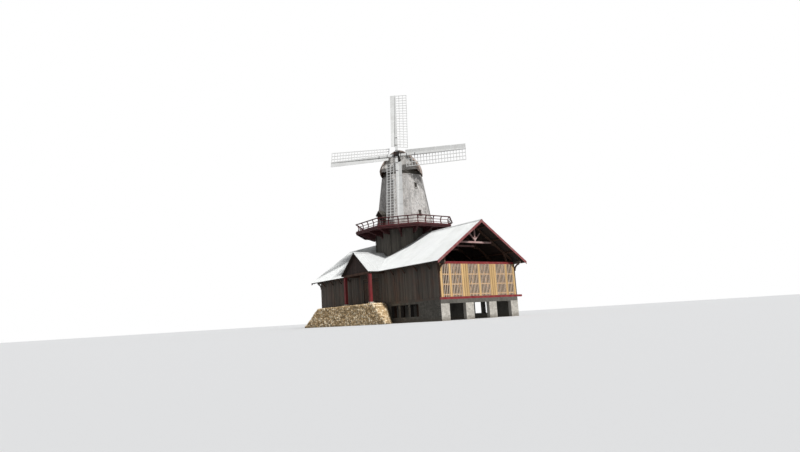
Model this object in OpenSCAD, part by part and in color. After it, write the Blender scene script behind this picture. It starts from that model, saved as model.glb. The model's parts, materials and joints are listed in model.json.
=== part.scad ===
// Smock windmill standing through the roof of a long timber barn.
// Origin: tower axis at ground level. +X runs along the barn, the front faces -Y, +Z is up.
// All lengths are in millimetres.

/* [Barn] */
// Length of the barn between the outer faces of its gable walls
barn_l = 27000; // [24000:500:32000]
// Width of the barn between the outer faces of its long walls
barn_w = 12000; // [11000:500:14000]
// Height of the masonry below the timber walls
masonry_h = 2300; // [2200:50:2800]
// Thickness of the masonry walls and piers
masonry_t = 450; // [350:10:600]
// Thickness of the boarded timber walls
wall_t = 160; // [100:10:240]
// Height of the sill beams
sill_h = 250; // [200:10:350]
// Thickness of the plank floor
floor_t = 150; // [100:10:220]
// Height of the eave edges above the ground
eave_h = 6420; // [6300:20:6700]
// Height of the ridge above the ground
ridge_h = 11200; // [10800:50:11500]
// Overhang of the roof past the long walls
eave_out = 950; // [700:50:1200]
// Overhang of the roof past the gable walls
verge_out = 1100; // [800:50:1400]
// Thickness of the roof boarding and its shingles
roof_t = 110; // [80:10:160]
// Height of the verge boards
verge_h = 260; // [180:10:350]
// Thickness of the verge boards
verge_t = 45; // [30:5:70]

/* [Masonry openings] */
// Width of one gable pier
pier_w = 1200; // [900:50:1400]
// Height of the openings between the gable piers
pier_open_h = 1850; // [1500:50:1950]
// Width of one opening in the long masonry walls
vent_w = 1550; // [1200:50:1600]
// Width of the posts between those openings
vent_post = 380; // [250:10:500]
// Height of their sills above the ground
vent_sill = 550; // [300:50:800]
// Height of their heads above the ground
vent_head = 2050; // [1700:50:2100]
// Distance of the first of them from the tower axis
vent_x = 4120; // [3800:20:4600]
// Number of these openings in each long wall
vents = 3; // [1:1:4]

/* [Timber frame] */
// Height of the tie beams and wall plates
tie_h = 260; // [200:10:320]
// Drop of the tie beams below the roof at the long walls
tie_drop = 490; // [400:10:560]
// Width of the tie beams, collars and rafters
timber_w = 180; // [140:10:240]
// Depth of the principal rafters
rafter_h = 200; // [160:10:260]
// Depth of the purlins
purlin_h = 180; // [140:10:220]
// Width of the purlins
purlin_w = 160; // [120:10:200]
// Distance between neighbouring trusses
truss_step = 2950; // [2600:50:3000]
// Number of trusses on each side of the tower, the gable one included
trusses = 4; // [3:1:4]
// Place of the collars between the tie beams and the ridge, as a share of that height
collar_place = 0.461; // [0.44:0.001:0.48]
// Depth of the collars
collar_h = 200; // [160:10:240]
// Height of the arched braces' curve, as a share of the height from tie beam to collar
arch_share = 1.096; // [1.05:0.002:1.12]
// Reach of the arched braces' curve, as a share of the room beside the collar on the tie beam
arch_reach = 0.688; // [0.66:0.002:0.71]
// Depth of the arched braces
arch_h = 180; // [140:10:220]
// Reach of the struts beside each king post
strut_run = 850; // [700:50:1000]

/* [Gable slats] */
// Thickness of the gable boards and slats
slat_t = 40; // [25:5:60]
// Width of a wide board
board_w = 300; // [250:10:330]
// Open joint between wide boards that stand side by side
board_gap = 50; // [30:5:80]
// Width of a thin slat
slat_w = 90; // [70:5:110]
// Width of a bay of the slat wall
bay = 2200; // [2000:50:2300]
// Number of thin slats in a bay
slats = 7; // [5:1:8]
// Height of the rails behind the slats
rail_h = 140; // [100:10:180]
// Width of the slanting braces behind the slats
brace_w = 140; // [100:10:180]

/* [Porch] */
// Height of the porch ridge
porch_ridge_h = 9080; // [8800:20:9300]
// Half the width of the porch roof at its eaves
porch_half = 3250; // [3000:50:3600]
// Distance from the tower axis to the porch roof's front edge
porch_y = 8450; // [8200:50:8800]
// Width of the square porch posts
post_w = 340; // [260:10:420]
// Distance of the posts from the middle line
post_x = 2900; // [2600:50:2950]
// Distance of the posts from the tower axis, front to back
post_y = 8050; // [7900:50:8100]
// Width of the barn doorway under the porch
door_w = 3600; // [3000:100:4200]
// Drop of the barn doorway's head below the wall plate
door_drop = 440; // [300:20:900]
// Thickness of the barn door leaves
leaf_t = 60; // [40:5:80]

/* [Ramp] */
// Height of the level top of the stone bank
bank_h = 2450; // [2350:10:2600]
// Distance from the tower axis to the foot of the bank's front
bank_y = 9300; // [9200:50:9800]
// Slope of the bank's front, as a set-back from foot to top
bank_batter = 450; // [200:50:700]
// Left end of the level top
bank_x0 = -9200; // [-10000:100:-8000]
// Right end of the level top at its front edge
bank_x1 = 4500; // [4000:100:5200]
// Length of the sloping ends
bank_run = 3300; // [2600:100:4200]
// Right end of the level top at the barn wall
bank_in = 2900; // [2400:100:3000]
// Length of the sloping right end at the barn wall
bank_in_run = 1150; // [800:50:1200]

/* [Drum and gallery] */
// Corner radius of the boarded drum
drum_r = 4100; // [3900:50:4300]
// Thickness of the drum walls
drum_t = 130; // [100:10:200]
// Width of the tower posts
frame_post = 300; // [240:10:360]
// Thickness of the concrete pad under the tower posts
pad_t = 200; // [150:10:300]
// Height of the gallery deck's top above the barn's ridge
deck_rise = 900; // [800:20:1100]
// Thickness of the deck
deck_t = 110; // [80:10:150]
// Corner radius of the deck
deck_r = 6850; // [6600:50:7100]
// Height of the rail above the deck
rail_top = 1080; // [950:10:1200]
// Depth of the beam under the deck's edge
rim_h = 180; // [120:10:240]
// Width of that beam
rim_w = 110; // [80:10:160]
// Set-back of that beam from the deck's edge
rim_set = 60; // [30:10:120]
// Inward curve of the rail posts at half their height
rail_waist = 270; // [150:10:320]
// Width of the rail posts
rail_post = 95; // [70:5:120]
// Number of bays in one side of the rail
rail_bays = 4; // [3:1:5]
// Number of laths between the deck and the top rail
rail_laths = 2; // [1:1:3]
// Depth of the gallery brackets under the deck
bracket_h = 640; // [500:20:760]
// Thickness of the gallery brackets
bracket_t = 180; // [120:10:240]
// Depth of the brackets at their outer ends
bracket_tip = 60; // [40:10:120]
// Length of the brackets' slanting ends
bracket_lean = 1400; // [1100:50:1600]
// Radius of the curved knees below the brackets
bracket_knee = 700; // [500:20:800]

/* [Tower] */
// Corner radius of the tower at the deck
tower_r0 = 3990; // [3800:10:4000]
// Corner radius of the tower at its top
tower_r1 = 2820; // [2650:10:2900]
// Height of the tower above the deck
tower_h = 7450; // [7200:50:7700]
// Thickness of the tower walls
tower_t = 200; // [150:10:260]
// Width of the small tower windows
win_w = 300; // [250:10:400]
// Height of the small tower windows
win_h = 700; // [500:10:800]
// Heights of the middles of a side's two windows above the deck
win_rise = [1950, 5800];
// Width of the gallery doors
gdoor_w = 900; // [800:20:1000]
// Height of the gallery doors
gdoor_h = 1900; // [1800:20:2000]
// Reach of the hoods over the gallery doors
hood_out = 900; // [700:20:950]
// Height of the curb ring on the tower
curb_h = 260; // [200:10:320]
// Clearance between the curb and the cap that turns on it
turn_gap = 0.5; // [0.3:0.1:0.9]

/* [Cap] */
// Bearing of the sails' side of the cap, counted from +X
cap_bearing = -45.6; // [-60:0.1:-30]
// Height of the cap's lower edge above the curb
cap_lift = 120; // [80:10:180]
// Height of the cap's widest line above its lower edge
cap_waist = 100; // [60:10:160]
// Half the width of the cap at its widest line
cap_half = 2810; // [2780:10:2950]
// Share by which the cap's front draws in above its foot
cap_flare = 0.2; // [0.05:0.05:0.25]
// Spacing of the beams that carry the cap's boarding
bearer_step = 1250; // [1150:50:1300]
// Height of the cap's ridge above its widest line
cap_rise = 2970; // [2800:10:3100]
// Distance from the axis to the front edge of the cap
cap_front = 2700; // [2600:20:2760]
// Distance from the axis to the tail of the cap
cap_back = 3450; // [3300:50:3700]
// Thickness of the cap's boarding and shingles
cap_t = 110; // [90:5:150]
// Set-back of the front boarding behind the cap's edge
cap_recess = 330; // [250:10:400]
// Thickness of the front boarding
front_t = 60; // [40:5:80]
// Size of the beams that hold the windshaft's bearings
cap_beam = 340; // [260:10:400]
// Distance of the front one of them behind the front boarding
neck_back = 850; // [700:10:1000]
// Half the length of that beam
neck_half = 1500; // [1300:20:1600]

/* [Sails] */
// Distance from the tower axis to the middle of the sail cross
hub_out = 3580; // [3550:10:3800]
// Height of the middle of the sail cross above the tower
hub_rise = 2350; // [2250:10:2500]
// Upward tilt of the windshaft in degrees
shaft_tilt = 11.2; // [9:0.1:12]
// Radius of the windshaft
shaft_r = 250; // [200:10:280]
// Gap round the windshaft in its bearings
bearing_gap = 0.5; // [0.3:0.1:0.9]
// Length of a sail from the hub to its tip
sail_r = 9100; // [8600:50:9200]
// Distance from the hub to the first sail bar
sail_in = 1150; // [1000:50:1300]
// Width of the lattice behind the stock
lattice_w = 1500; // [1300:50:1600]
// Width of the leading boards
lead_w = 700; // [550:10:800]
// Number of gaps between the sail bars
sail_rows = 20; // [14:1:22]
// Number of lattice columns
sail_cols = 3; // [2:1:3]
// Width of the lattice bars
bar_w = 75; // [50:5:90]
// Depth of the lattice bars
bar_t = 40; // [30:2:50]
// Twist of the sail at its inner end in degrees
twist_in = 19; // [12:1:20]
// Twist of the sail at its tip in degrees
twist_tip = 5; // [0:1:8]
// Thickness of the leading boards
lead_t = 30; // [20:2:40]
// Width of the stocks where they pass the hub
stock_w = 300; // [240:10:320]
// Width of the stocks at their tips
stock_tip = 130; // [100:5:160]
// Length of the iron box that holds the stocks, along the shaft
poll_l = 820; // [760:10:900]
// Width of that iron box
poll_w = 640; // [560:10:700]

/* [Hidden] */
half_w = barn_w / 2;
half_l = barn_l / 2;
roof_half = half_w + eave_out;
roof_end = half_l + verge_out;
pitch = atan((ridge_h - eave_h) / roof_half);
slope = tan(pitch);
roof_v = roof_t / cos(pitch);
sill_top = masonry_h + sill_h;
floor_top = masonry_h + floor_t;
// Height of the roof's underside at a distance y from the ridge
function roof_under(y) = ridge_h - roof_v - slope * abs(y);
tie_top = roof_under(half_w) - tie_drop;
tie_z = tie_top - tie_h;
door_top = tie_z - door_drop;
collar_z = tie_top + collar_place * (ridge_h - tie_top);
arch_r = arch_share * (collar_z - tie_top);
// The principal rafters hang below the purlins
rafter_drop = purlin_h / cos(pitch);
rafter_v = rafter_h / cos(pitch);
truss_x = [for (i = [0 : trusses - 1]) half_l - timber_w / 2 - wall_t - i * truss_step];
octagon = 22.5;
drum_flat = drum_r * cos(octagon);
deck_h = ridge_h + deck_rise;
deck_under = deck_h - deck_t;
tower_top = deck_h + tower_h;
win_z = [for (h = win_rise) deck_h + h];
hub_z = tower_top + hub_rise;
deck_flat = deck_r * cos(octagon);
tower_slope = (tower_r0 - tower_r1) * cos(octagon) / (tower_top - deck_h);
// Distance of a tower side from the axis at height z
function tower_flat(z) = tower_r0 * cos(octagon) - tower_slope * (z - deck_h);
porch_slope = (porch_ridge_h - eave_h) / porch_half;
porch_v = roof_t * sqrt(1 + porch_slope * porch_slope);
porch_plate_z = eave_h + porch_slope * (porch_half - post_x - post_w / 2) - porch_v - tie_h;
curb_top = tower_top + curb_h;
cap_z = curb_top + cap_lift;
ring_z = curb_top + turn_gap;
ring_h = 260;
track_h = 20;
curb_w = 400;
curb_r = tower_r1 * cos(octagon) - 20;
shaft_rise = tan(shaft_tilt);
cap_stations = 12;
cap_points = 20;
seam = 0.5;
big = 60000;

// Shared shapes

// A box given by its lowest and highest corners
module span(a, b) {
    translate(a) cube(b - a);
}

// An outline drawn in Y and Z, given thickness along X round the place x
module across(x, t) {
    translate([x - t / 2, 0, 0]) rotate([90, 0, 90]) linear_extrude(t) children();
}

// An octagonal prism with flat sides towards +X and +Y
module prism8(r, z0, z1) {
    translate([0, 0, z0]) rotate([0, 0, octagon]) cylinder(h = z1 - z0, r = r, $fn = 8);
}

// Repeats its child on the eight sides of the tower
module eight_sides() {
    for (k = [0 : 7]) rotate([0, 0, 45 * k]) children();
}

// Both ends of the barn
module both_ends() {
    children();
    mirror([1, 0, 0]) children();
}

// Both long sides of the barn
module both_sides() {
    children();
    mirror([0, 1, 0]) children();
}

// A timber of square ends between two points of the Y-Z plane, as an outline
module timber2d(a, b, w) {
    d = (b - a) / norm(b - a);
    n = [-d[1], d[0]] * w / 2;
    polygon([a + n, a - n, b - n, b + n]);
}

// Masonry

module tower_pad() {
    color("silver") prism8(drum_r, 0, pad_t);
}

module gable_piers() {
    gap = (barn_w - 4 * pier_w) / 3;
    color("gainsboro") both_ends()
        for (i = [0 : 3])
            span([half_l - masonry_t, -half_w + i * (pier_w + gap), 0],
                 [half_l, -half_w + i * (pier_w + gap) + pier_w, pier_open_h]);
}

module gable_lintels() {
    color("gainsboro") both_ends()
        span([half_l - masonry_t, -half_w, pier_open_h], [half_l, half_w, masonry_h]);
}

module long_plinth() {
    difference() {
        span([-half_l + masonry_t, -half_w, 0], [half_l - masonry_t, -half_w + masonry_t, masonry_h]);
        for (i = [0 : vents - 1])
            span([vent_x + i * (vent_w + vent_post), -half_w - 10, vent_sill],
                 [vent_x + i * (vent_w + vent_post) + vent_w, -half_w + masonry_t + 10, vent_head]);
    }
}

module long_plinths() {
    color("lightgray") both_sides() long_plinth();
}

// The bank: a level top and sloping sides, its right end drawn in towards the barn wall
module stone_bank() {
    top_y = -bank_y + bank_batter;
    points = [[bank_x0, -half_w, bank_h], [bank_x0, top_y, bank_h], [bank_x1, top_y, bank_h],
              [bank_in, -half_w, bank_h], [bank_x0 - bank_run, -half_w, 0], [bank_x0 - bank_run, -bank_y, 0],
              [bank_x1 + bank_run, -bank_y, 0], [bank_in + bank_in_run, -half_w, 0]];
    faces = [[3, 2, 1, 0], [4, 5, 6, 7], [1, 2, 6, 5], [0, 1, 5, 4], [2, 3, 6], [3, 7, 6], [3, 0, 4, 7]];
    color("tan") polyhedron(points, faces);
}

// Barn frame and walls

module barn_floor() {
    inset = wall_t;
    color("saddlebrown") difference() {
        span([-half_l + inset, -half_w + inset, masonry_h], [half_l - inset, half_w - inset, floor_top]);
        tower_post_prisms();
    }
}

module long_beams() {
    color("brown") both_sides() {
        span([-half_l + wall_t, -half_w, masonry_h], [half_l - wall_t, -half_w + wall_t, sill_top]);
        span([-roof_end + verge_t, -half_w, tie_z], [roof_end - verge_t, -half_w + wall_t, tie_top]);
    }
}

module gable_beams() {
    reach = 850;
    color("firebrick") both_ends() {
        span([half_l - wall_t, -half_w, masonry_h], [half_l, half_w + reach, sill_top]);
        span([half_l - wall_t - timber_w, -half_w + wall_t, tie_z], [half_l, half_w - wall_t, tie_top]);
    }
}

module corner_posts() {
    color("sienna") both_ends() both_sides()
        span([half_l - wall_t, -half_w, sill_top], [half_l, -half_w + wall_t, tie_z]);
}

// A long wall of the -Y side, below and above its wall plate
module long_wall() {
    span([-half_l + wall_t, -half_w, sill_top], [half_l - wall_t, -half_w + wall_t, tie_z]);
    translate([-half_l, 0, 0]) rotate([90, 0, 90]) linear_extrude(barn_l)
        polygon([[-half_w, tie_top], [-half_w + wall_t, tie_top],
                 [-half_w + wall_t, roof_under(half_w - wall_t)], [-half_w, roof_under(half_w)]]);
}

module long_walls() {
    color("dimgray") difference() {
        both_sides() long_wall();
        span([-door_w / 2, -half_w - 10, sill_top - 10],
             [door_w / 2, -half_w + wall_t + 10, door_top]);
    }
}

module barn_doors() {
    color("sienna") for (side = [-1, 1])
        translate([side * door_w / 4, 0, 0])
            span([-door_w / 4 + (side > 0 ? seam : 0), -half_w + wall_t / 2 - leaf_t / 2, sill_top],
                 [door_w / 4 - (side < 0 ? seam : 0), -half_w + wall_t / 2 + leaf_t / 2, door_top]);
}

// Outline of one principal rafter, on the -Y side
module rafter2d() {
    top = roof_under(0) - rafter_drop;
    foot = half_w - wall_t;
    intersection() {
        polygon([[-seam, top], [-seam, top - rafter_v], [-half_w, top - rafter_v - slope * half_w],
                 [-half_w, top - slope * half_w]]);
        polygon([[-seam, tie_top], [-seam, top], [-foot, top], [-foot, tie_top]]);
    }
}

module truss_rafters() {
    color("sienna") both_ends() both_sides() for (x = truss_x) across(x, timber_w) rafter2d();
}

// Half the length of a collar, from rafter to rafter
collar_half = (roof_under(0) - rafter_drop - rafter_v - collar_z - collar_h) / slope;

module truss_beams() {
    color("rosybrown") both_ends() {
        for (x = truss_x)
            span([x - timber_w / 2, -collar_half, collar_z], [x + timber_w / 2, collar_half, collar_z + collar_h]);
        for (i = [1 : trusses - 1])
            span([truss_x[i] - timber_w / 2, -half_w + wall_t, tie_z],
                 [truss_x[i] + timber_w / 2, half_w - wall_t, tie_top]);
    }
}

// Outline of one arched brace from the tie beam up to the collar, on the +Y side
module arch2d() {
    mid_y = collar_half - 20;
    room = (collar_z + collar_h - tie_top) / slope;
    intersection() {
        translate([mid_y, collar_z - arch_r - arch_h / 2]) polygon(concat(
            [for (a = [0 : 4.5 : 90]) [(arch_reach * room + arch_h / 2) * cos(a), (arch_r + arch_h / 2) * sin(a)]],
            [for (a = [90 : -4.5 : 0]) [(arch_reach * room - arch_h / 2) * cos(a), (arch_r - arch_h / 2) * sin(a)]]));
        polygon([[mid_y, tie_top], [half_w - wall_t, tie_top], [half_w - wall_t, collar_z], [mid_y, collar_z]]);
        polygon([[0, tie_top], [0, roof_under(0) - rafter_drop - rafter_v],
                 [half_w, roof_under(half_w) - rafter_drop - rafter_v], [half_w, tie_top]]);
    }
}

module truss_arches() {
    color("sienna") both_ends() both_sides() for (x = truss_x) across(x, timber_w * 0.8) arch2d();
}

module king_posts() {
    foot = collar_z + collar_h;
    head = roof_under(0) - rafter_drop - rafter_v;
    w = timber_w * 0.8;
    color("rosybrown") both_ends() for (x = truss_x) across(x, w) intersection() {
        union() {
            polygon([[-w / 2, foot], [w / 2, foot], [w / 2, head], [-w / 2, head]]);
            for (s = [-1, 1]) timber2d([0, foot + w], [s * strut_run, foot + w + strut_run], w * 0.8);
        }
        polygon([[-collar_half, foot], [collar_half, foot], [0, head]]);
    }
}

// Curved braces that carry the wall plates past the gables
module overhang_braces() {
    r = 820;
    color("brown") both_ends() both_sides()
        translate([half_l, -half_w + wall_t, tie_z]) rotate([90, 0, 0]) linear_extrude(wall_t)
            intersection() {
                polygon([[0, 0], [r, 0], [r, -r], [0, -r]]);
                translate([r, -r]) difference() {
                    circle(r = r, $fn = 72);
                    circle(r = r - 130, $fn = 72);
                }
            }
}

// Roof

// One purlin under the -Y slope, d along the slope from the ridge
module purlin(d) {
    translate([0, 0, ridge_h]) rotate([pitch, 0, 0])
        span([-roof_end + verge_t, -d - purlin_w / 2, -roof_t - purlin_h + seam],
             [roof_end - verge_t, -d + purlin_w / 2, -roof_t - seam]);
}

module purlins() {
    length = roof_half / cos(pitch);
    color("sienna") difference() {
        both_sides() for (d = [0.12, 0.42, 0.72] * length) purlin(d);
        prism8(drum_r + seam, 0, deck_h);
    }
}

// The sheet of the -Y slope before the tower's hole is cut
module roof_sheet() {
    translate([-roof_end, 0, 0]) rotate([90, 0, 90]) linear_extrude(2 * roof_end)
        polygon([[-seam / 2, ridge_h], [-roof_half, eave_h], [-roof_half, eave_h - roof_v],
                 [-seam / 2, ridge_h - roof_v]]);
}

module roof_slope() {
    difference() {
        roof_sheet();
        prism8(drum_r + seam, 0, deck_h);
    }
}

module main_roof() {
    color("whitesmoke") both_sides() roof_slope();
}

module verge_boards() {
    low = (verge_h - roof_t) / cos(pitch) + roof_v;
    color("indianred") both_ends() both_sides()
        translate([roof_end, 0, 0]) rotate([90, 0, 90]) linear_extrude(verge_t)
            polygon([[-seam / 2, ridge_h + 20], [-roof_half, eave_h + 20], [-roof_half, eave_h - low],
                     [-seam / 2, ridge_h - low]]);
}

// Gable slat walls

// The slat wall of the +X gable: wide boards, thin slats, rails and slanting braces
module slat_wall() {
    x1 = half_l - wall_t;
    z0 = sill_top;
    z1 = tie_z;
    inner = half_w - wall_t;
    // Places of the wide boards from the middle to the corner
    wide = [0, bay - board_w - board_gap, bay, bay + board_w + board_gap, 2 * bay];
    color("burlywood") union() {
        for (s = [-1, 1], y = wide)
            span([x1 + wall_t - slat_t, s * y - board_w / 2, z0], [x1 + wall_t, s * y + board_w / 2, z1]);
        for (s = [-1, 1]) {
            span([x1 + wall_t - slat_t, s > 0 ? inner - board_w : -inner, z0],
                 [x1 + wall_t, s > 0 ? inner : -inner + board_w, z1]);
            for (k = [0, 1], i = [1 : slats]) {
                a = k * bay + (k == 0 ? board_w / 2 : 1.5 * board_w + board_gap);
                b = k == 0 ? bay - 1.5 * board_w - board_gap : 2 * bay - board_w / 2;
                y = s * (a + (b - a) * (i - 0.5) / slats);
                span([x1 + wall_t - slat_t, y - slat_w / 2, z0], [x1 + wall_t, y + slat_w / 2, z1]);
            }
            for (i = [1 : round(slats / 2)]) {
                a = 2 * bay + board_w / 2;
                b = inner - board_w;
                y = s * (a + (b - a) * (i - 0.5) / round(slats / 2));
                span([x1 + wall_t - slat_t, y - slat_w / 2, z0], [x1 + wall_t, y + slat_w / 2, z1]);
            }
        }
        for (f = [0.05, 0.36, 0.66])
            span([x1 + wall_t - slat_t - rail_h / 2, -inner, z0 + f * (z1 - z0)],
                 [x1 + wall_t - slat_t, inner, z0 + f * (z1 - z0) + rail_h]);
        for (k = [-2 : 1]) {
            lean = k % 2 == 0 ? 1 : -1;
            mid = (k + 0.5) * bay;
            translate([x1 + rail_h / 4, 0, 0]) intersection() {
                across(0, rail_h / 2) timber2d([mid - lean * bay * 0.3, z1 + 100], [mid + lean * bay * 0.3, z0 - 100],
                                               brace_w);
                span([-big, -inner, z0], [big, inner, z1]);
            }
        }
    }
}

module gable_slats_right() {
    slat_wall();
}

module gable_slats_left() {
    mirror([1, 0, 0]) slat_wall();
}

// Porch

module porch_posts() {
    color("firebrick") both_ends()
        span([post_x - post_w / 2, -post_y - post_w / 2, bank_h], [post_x + post_w / 2, -post_y + post_w / 2,
                                                                    porch_plate_z]);
}

module porch_beams() {
    color("brown") difference() {
        union() {
            both_ends()
                span([post_x - post_w / 2, -post_y - post_w / 2, porch_plate_z],
                     [post_x + post_w / 2, -half_w, porch_plate_z + tie_h]);
            span([-post_x + post_w / 2, -post_y - post_w / 2, porch_plate_z],
                 [post_x - post_w / 2, -post_y + post_w / 2, porch_plate_z + tie_h]);
        }
        roof_sheet();
    }
}

module porch_roof() {
    color("gainsboro") difference() {
        translate([0, -drum_flat, 0]) rotate([90, 0, 0]) linear_extrude(porch_y - drum_flat)
            polygon([[0, porch_ridge_h], [porch_half, eave_h], [porch_half, eave_h - porch_v],
                     [0, porch_ridge_h - porch_v], [-porch_half, eave_h - porch_v], [-porch_half, eave_h]]);
        translate([-big / 2, 0, 0]) rotate([90, 0, 90]) linear_extrude(big)
            polygon([[0, ridge_h + seam], [-roof_half, eave_h + seam], [-roof_half, 0], [0, 0]]);
    }
}

// The boarded triangle and the collar under the porch roof
module porch_gable() {
    top = porch_ridge_h - porch_v - seam;
    foot = porch_plate_z + tie_h;
    reach = (top - foot) / porch_slope;
    color("sienna") translate([0, -post_y + leaf_t / 2, 0]) rotate([90, 0, 0]) linear_extrude(leaf_t)
        polygon([[0, top], [reach, foot], [-reach, foot]]);
}

// Tower base and gallery

module tower_post_prisms() {
    inner_r = drum_r - drum_t / cos(octagon);
    intersection() {
        for (k = [0 : 7]) rotate([0, 0, octagon + 45 * k])
            span([inner_r - frame_post, -frame_post / 2, pad_t],
                 [inner_r, frame_post / 2, deck_under - seam]);
        prism8(inner_r, 0, deck_h);
    }
}

module tower_posts() {
    color("sienna") tower_post_prisms();
}

// Wedge that holds one of eight sides, clear of its neighbours by the seam
module side_wedge(h) {
    linear_extrude(h) polygon([[seam, 0], [big / 2, (big / 2 - seam) * tan(octagon)],
                               [big / 2, -(big / 2 - seam) * tan(octagon)]]);
}

module drum_walls() {
    low = roof_under(drum_r);
    color("darkslategray") eight_sides() intersection() {
        span([drum_flat - drum_t, -drum_r, low], [drum_flat, drum_r, deck_under - seam]);
        side_wedge(deck_h);
    }
}

// The deck with the beam under its edge
module gallery_deck() {
    color("maroon") union() {
        prism8(deck_r, deck_under, deck_h);
        difference() {
            prism8(deck_r - rim_set / cos(octagon), deck_under - rim_h, deck_under + 10);
            prism8(deck_r - (rim_set + rim_w) / cos(octagon), deck_under - rim_h - 10, deck_under);
        }
    }
}

// Bracket outline in distance from the axis and height, ending at the deck's edge beam
module bracket2d(reach) {
    in_z = deck_under - bracket_h;
    k = bracket_knee;
    difference() {
        polygon([[drum_flat - k / 2, deck_under], [reach, deck_under], [reach, deck_under - bracket_tip],
                 [reach - bracket_lean, in_z], [drum_flat + k, in_z], [drum_flat - k / 2, in_z - 1.5 * k]]);
        translate([drum_flat + 0.97 * k, in_z - k]) circle(r = k, $fn = 120);
    }
}

module gallery_brackets() {
    rim = rim_set + rim_w + seam;
    color("maroon") difference() {
        union() {
            for (k = [0 : 7]) rotate([90, 0, 45 * k]) translate([0, 0, -bracket_t / 2])
                linear_extrude(bracket_t) bracket2d(deck_flat - rim);
            for (k = [0 : 7]) rotate([90, 0, 45 * k + octagon]) translate([0, 0, -bracket_t / 2])
                linear_extrude(bracket_t) bracket2d(deck_r - rim / cos(octagon) - bracket_t / 2 * tan(octagon));
        }
        prism8(drum_r + seam, 0, deck_h);
        // What would stand inside the barn's roof
        translate([-half_l, 0, 0]) rotate([90, 0, 90]) linear_extrude(barn_l)
            polygon([[0, ridge_h + seam], [-roof_half, eave_h + seam], [-roof_half, 0], [roof_half, 0],
                     [roof_half, eave_h + seam]]);
    }
}

// One side of the rail: curved posts, laths and the top rail, cut to its wedge
module rail_side() {
    out = deck_flat - 60;
    sag = rail_waist;
    half = rail_top / 2;
    r = (half * half + sag * sag) / (2 * sag);
    side = 2 * out * tan(octagon);
    intersection() {
        union() {
            for (i = [0 : rail_bays]) {
                y = (i / rail_bays - 0.5) * (side - 2 * rail_post);
                translate([out, y + rail_post / 2, deck_h]) rotate([90, 0, 0]) linear_extrude(rail_post)
                    intersection() {
                        translate([r - sag, half]) difference() {
                            circle(r = r + rail_post * 0.7, $fn = 72);
                            circle(r = r, $fn = 72);
                        }
                        polygon([[-rail_top, 0], [0, 0], [0, rail_top], [-rail_top, rail_top]]);
                    }
            }
            span([out - rail_post, -side, deck_h + rail_top - 60], [out + 20, side, deck_h + rail_top]);
            span([out - rail_post, -side, deck_h], [out + 20, side, deck_h + 150]);
            for (i = [1 : rail_laths]) {
                z = rail_top * i / (rail_laths + 1);
                x = r - sag - sqrt(r * r - pow(z - half, 2));
                span([out + x - 25, -side, deck_h + z - 35], [out + x + 15, side, deck_h + z + 35]);
            }
        }
        side_wedge(deck_h + rail_top);
    }
}

module gallery_rail() {
    color("darkred") eight_sides() rail_side();
}

// Tower

// One of the eight leaning sides, as a slab with its faces in the planes of the tower
module tower_side() {
    h = tower_top - deck_h;
    v = tower_t * sqrt(1 + tower_slope * tower_slope);
    f0 = tower_flat(deck_h);
    f1 = tower_flat(tower_top);
    intersection() {
        translate([0, big / 4, deck_h]) rotate([90, 0, 0]) linear_extrude(big / 2)
            polygon([[f0, seam], [f1, h], [f1 - v, h], [f0 - v, seam]]);
        side_wedge(tower_top);
    }
}

// The cut for a window in the +X side
module window_hole(z) {
    span([0, -win_w / 2, z - win_h / 2], [big / 4, win_w / 2, z + win_h / 2]);
}

module tower_walls() {
    color("lightgray") difference() {
        eight_sides() tower_side();
        both_ends() for (z = win_z) window_hole(z);
        both_sides() span([-gdoor_w / 2, -big / 4, deck_h], [gdoor_w / 2, 0, deck_h + gdoor_h]);
    }
}

module tower_windows() {
    color("slategray") both_ends() for (z = win_z) {
        x = tower_flat(z) - tower_t / 2;
        span([x - 40, -win_w / 2, z - win_h / 2], [x, win_w / 2, z + win_h / 2]);
    }
}

module gallery_doors() {
    y = tower_flat(deck_h + gdoor_h) - tower_t * 0.7;
    color("sienna") both_sides()
        span([-gdoor_w / 2, -y, deck_h + seam], [gdoor_w / 2, -y + leaf_t, deck_h + gdoor_h]);
}

module door_hoods() {
    half = gdoor_w / 2 + 160;
    z = deck_h + gdoor_h + 150;
    rise = 560;
    t = 70;
    face = tower_flat(deck_h + gdoor_h);
    color("darkslategray") both_sides() difference() {
        union() {
            translate([0, 0, z]) rotate([90, 0, 0]) linear_extrude(face + hood_out) difference() {
                polygon([[0, rise], [half, 0], [half, -t * 1.4], [0, rise - t * 1.4], [-half, -t * 1.4], [-half, 0]]);
            }
            for (s = [-1, 1]) translate([s * (half - 110), 0, z - t * 1.2]) rotate([90, 0, 90])
                translate([0, 0, -35]) linear_extrude(70)
                    polygon([[-face - hood_out * 0.85, 0], [-face - hood_out * 0.85, -80], [-face, -hood_out * 0.8],
                             [0, -hood_out * 0.8], [0, 0]]);
        }
        intersection() {
            span([-big / 4, -big / 4, deck_h], [big / 4, 0, tower_top]);
            rotate([0, 0, octagon]) translate([0, 0, deck_h])
                cylinder(h = tower_top - deck_h, r1 = tower_r0 + 2 * seam, r2 = tower_r1 + 2 * seam, $fn = 8);
        }
    }
}

// A flat ring between two radii
module ring(r0, r1, z0, z1) {
    translate([0, 0, z0]) difference() {
        cylinder(h = z1 - z0, r = r1, $fn = 96);
        translate([0, 0, -10]) cylinder(h = z1 - z0 + 20, r = r0, $fn = 96);
    }
}

// The curb with the narrow track that the cap turns on
module curb_ring() {
    color("dimgray") {
        ring(curb_r - curb_w, curb_r, tower_top + seam, curb_top - track_h);
        ring(curb_r - curb_w / 2 - 60, curb_r - curb_w / 2 + 60, tower_top + seam, curb_top);
    }
}

// Cap, drawn with its front towards +X and then turned to its bearing

module on_cap() {
    rotate([0, 0, cap_bearing]) children();
}

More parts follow.
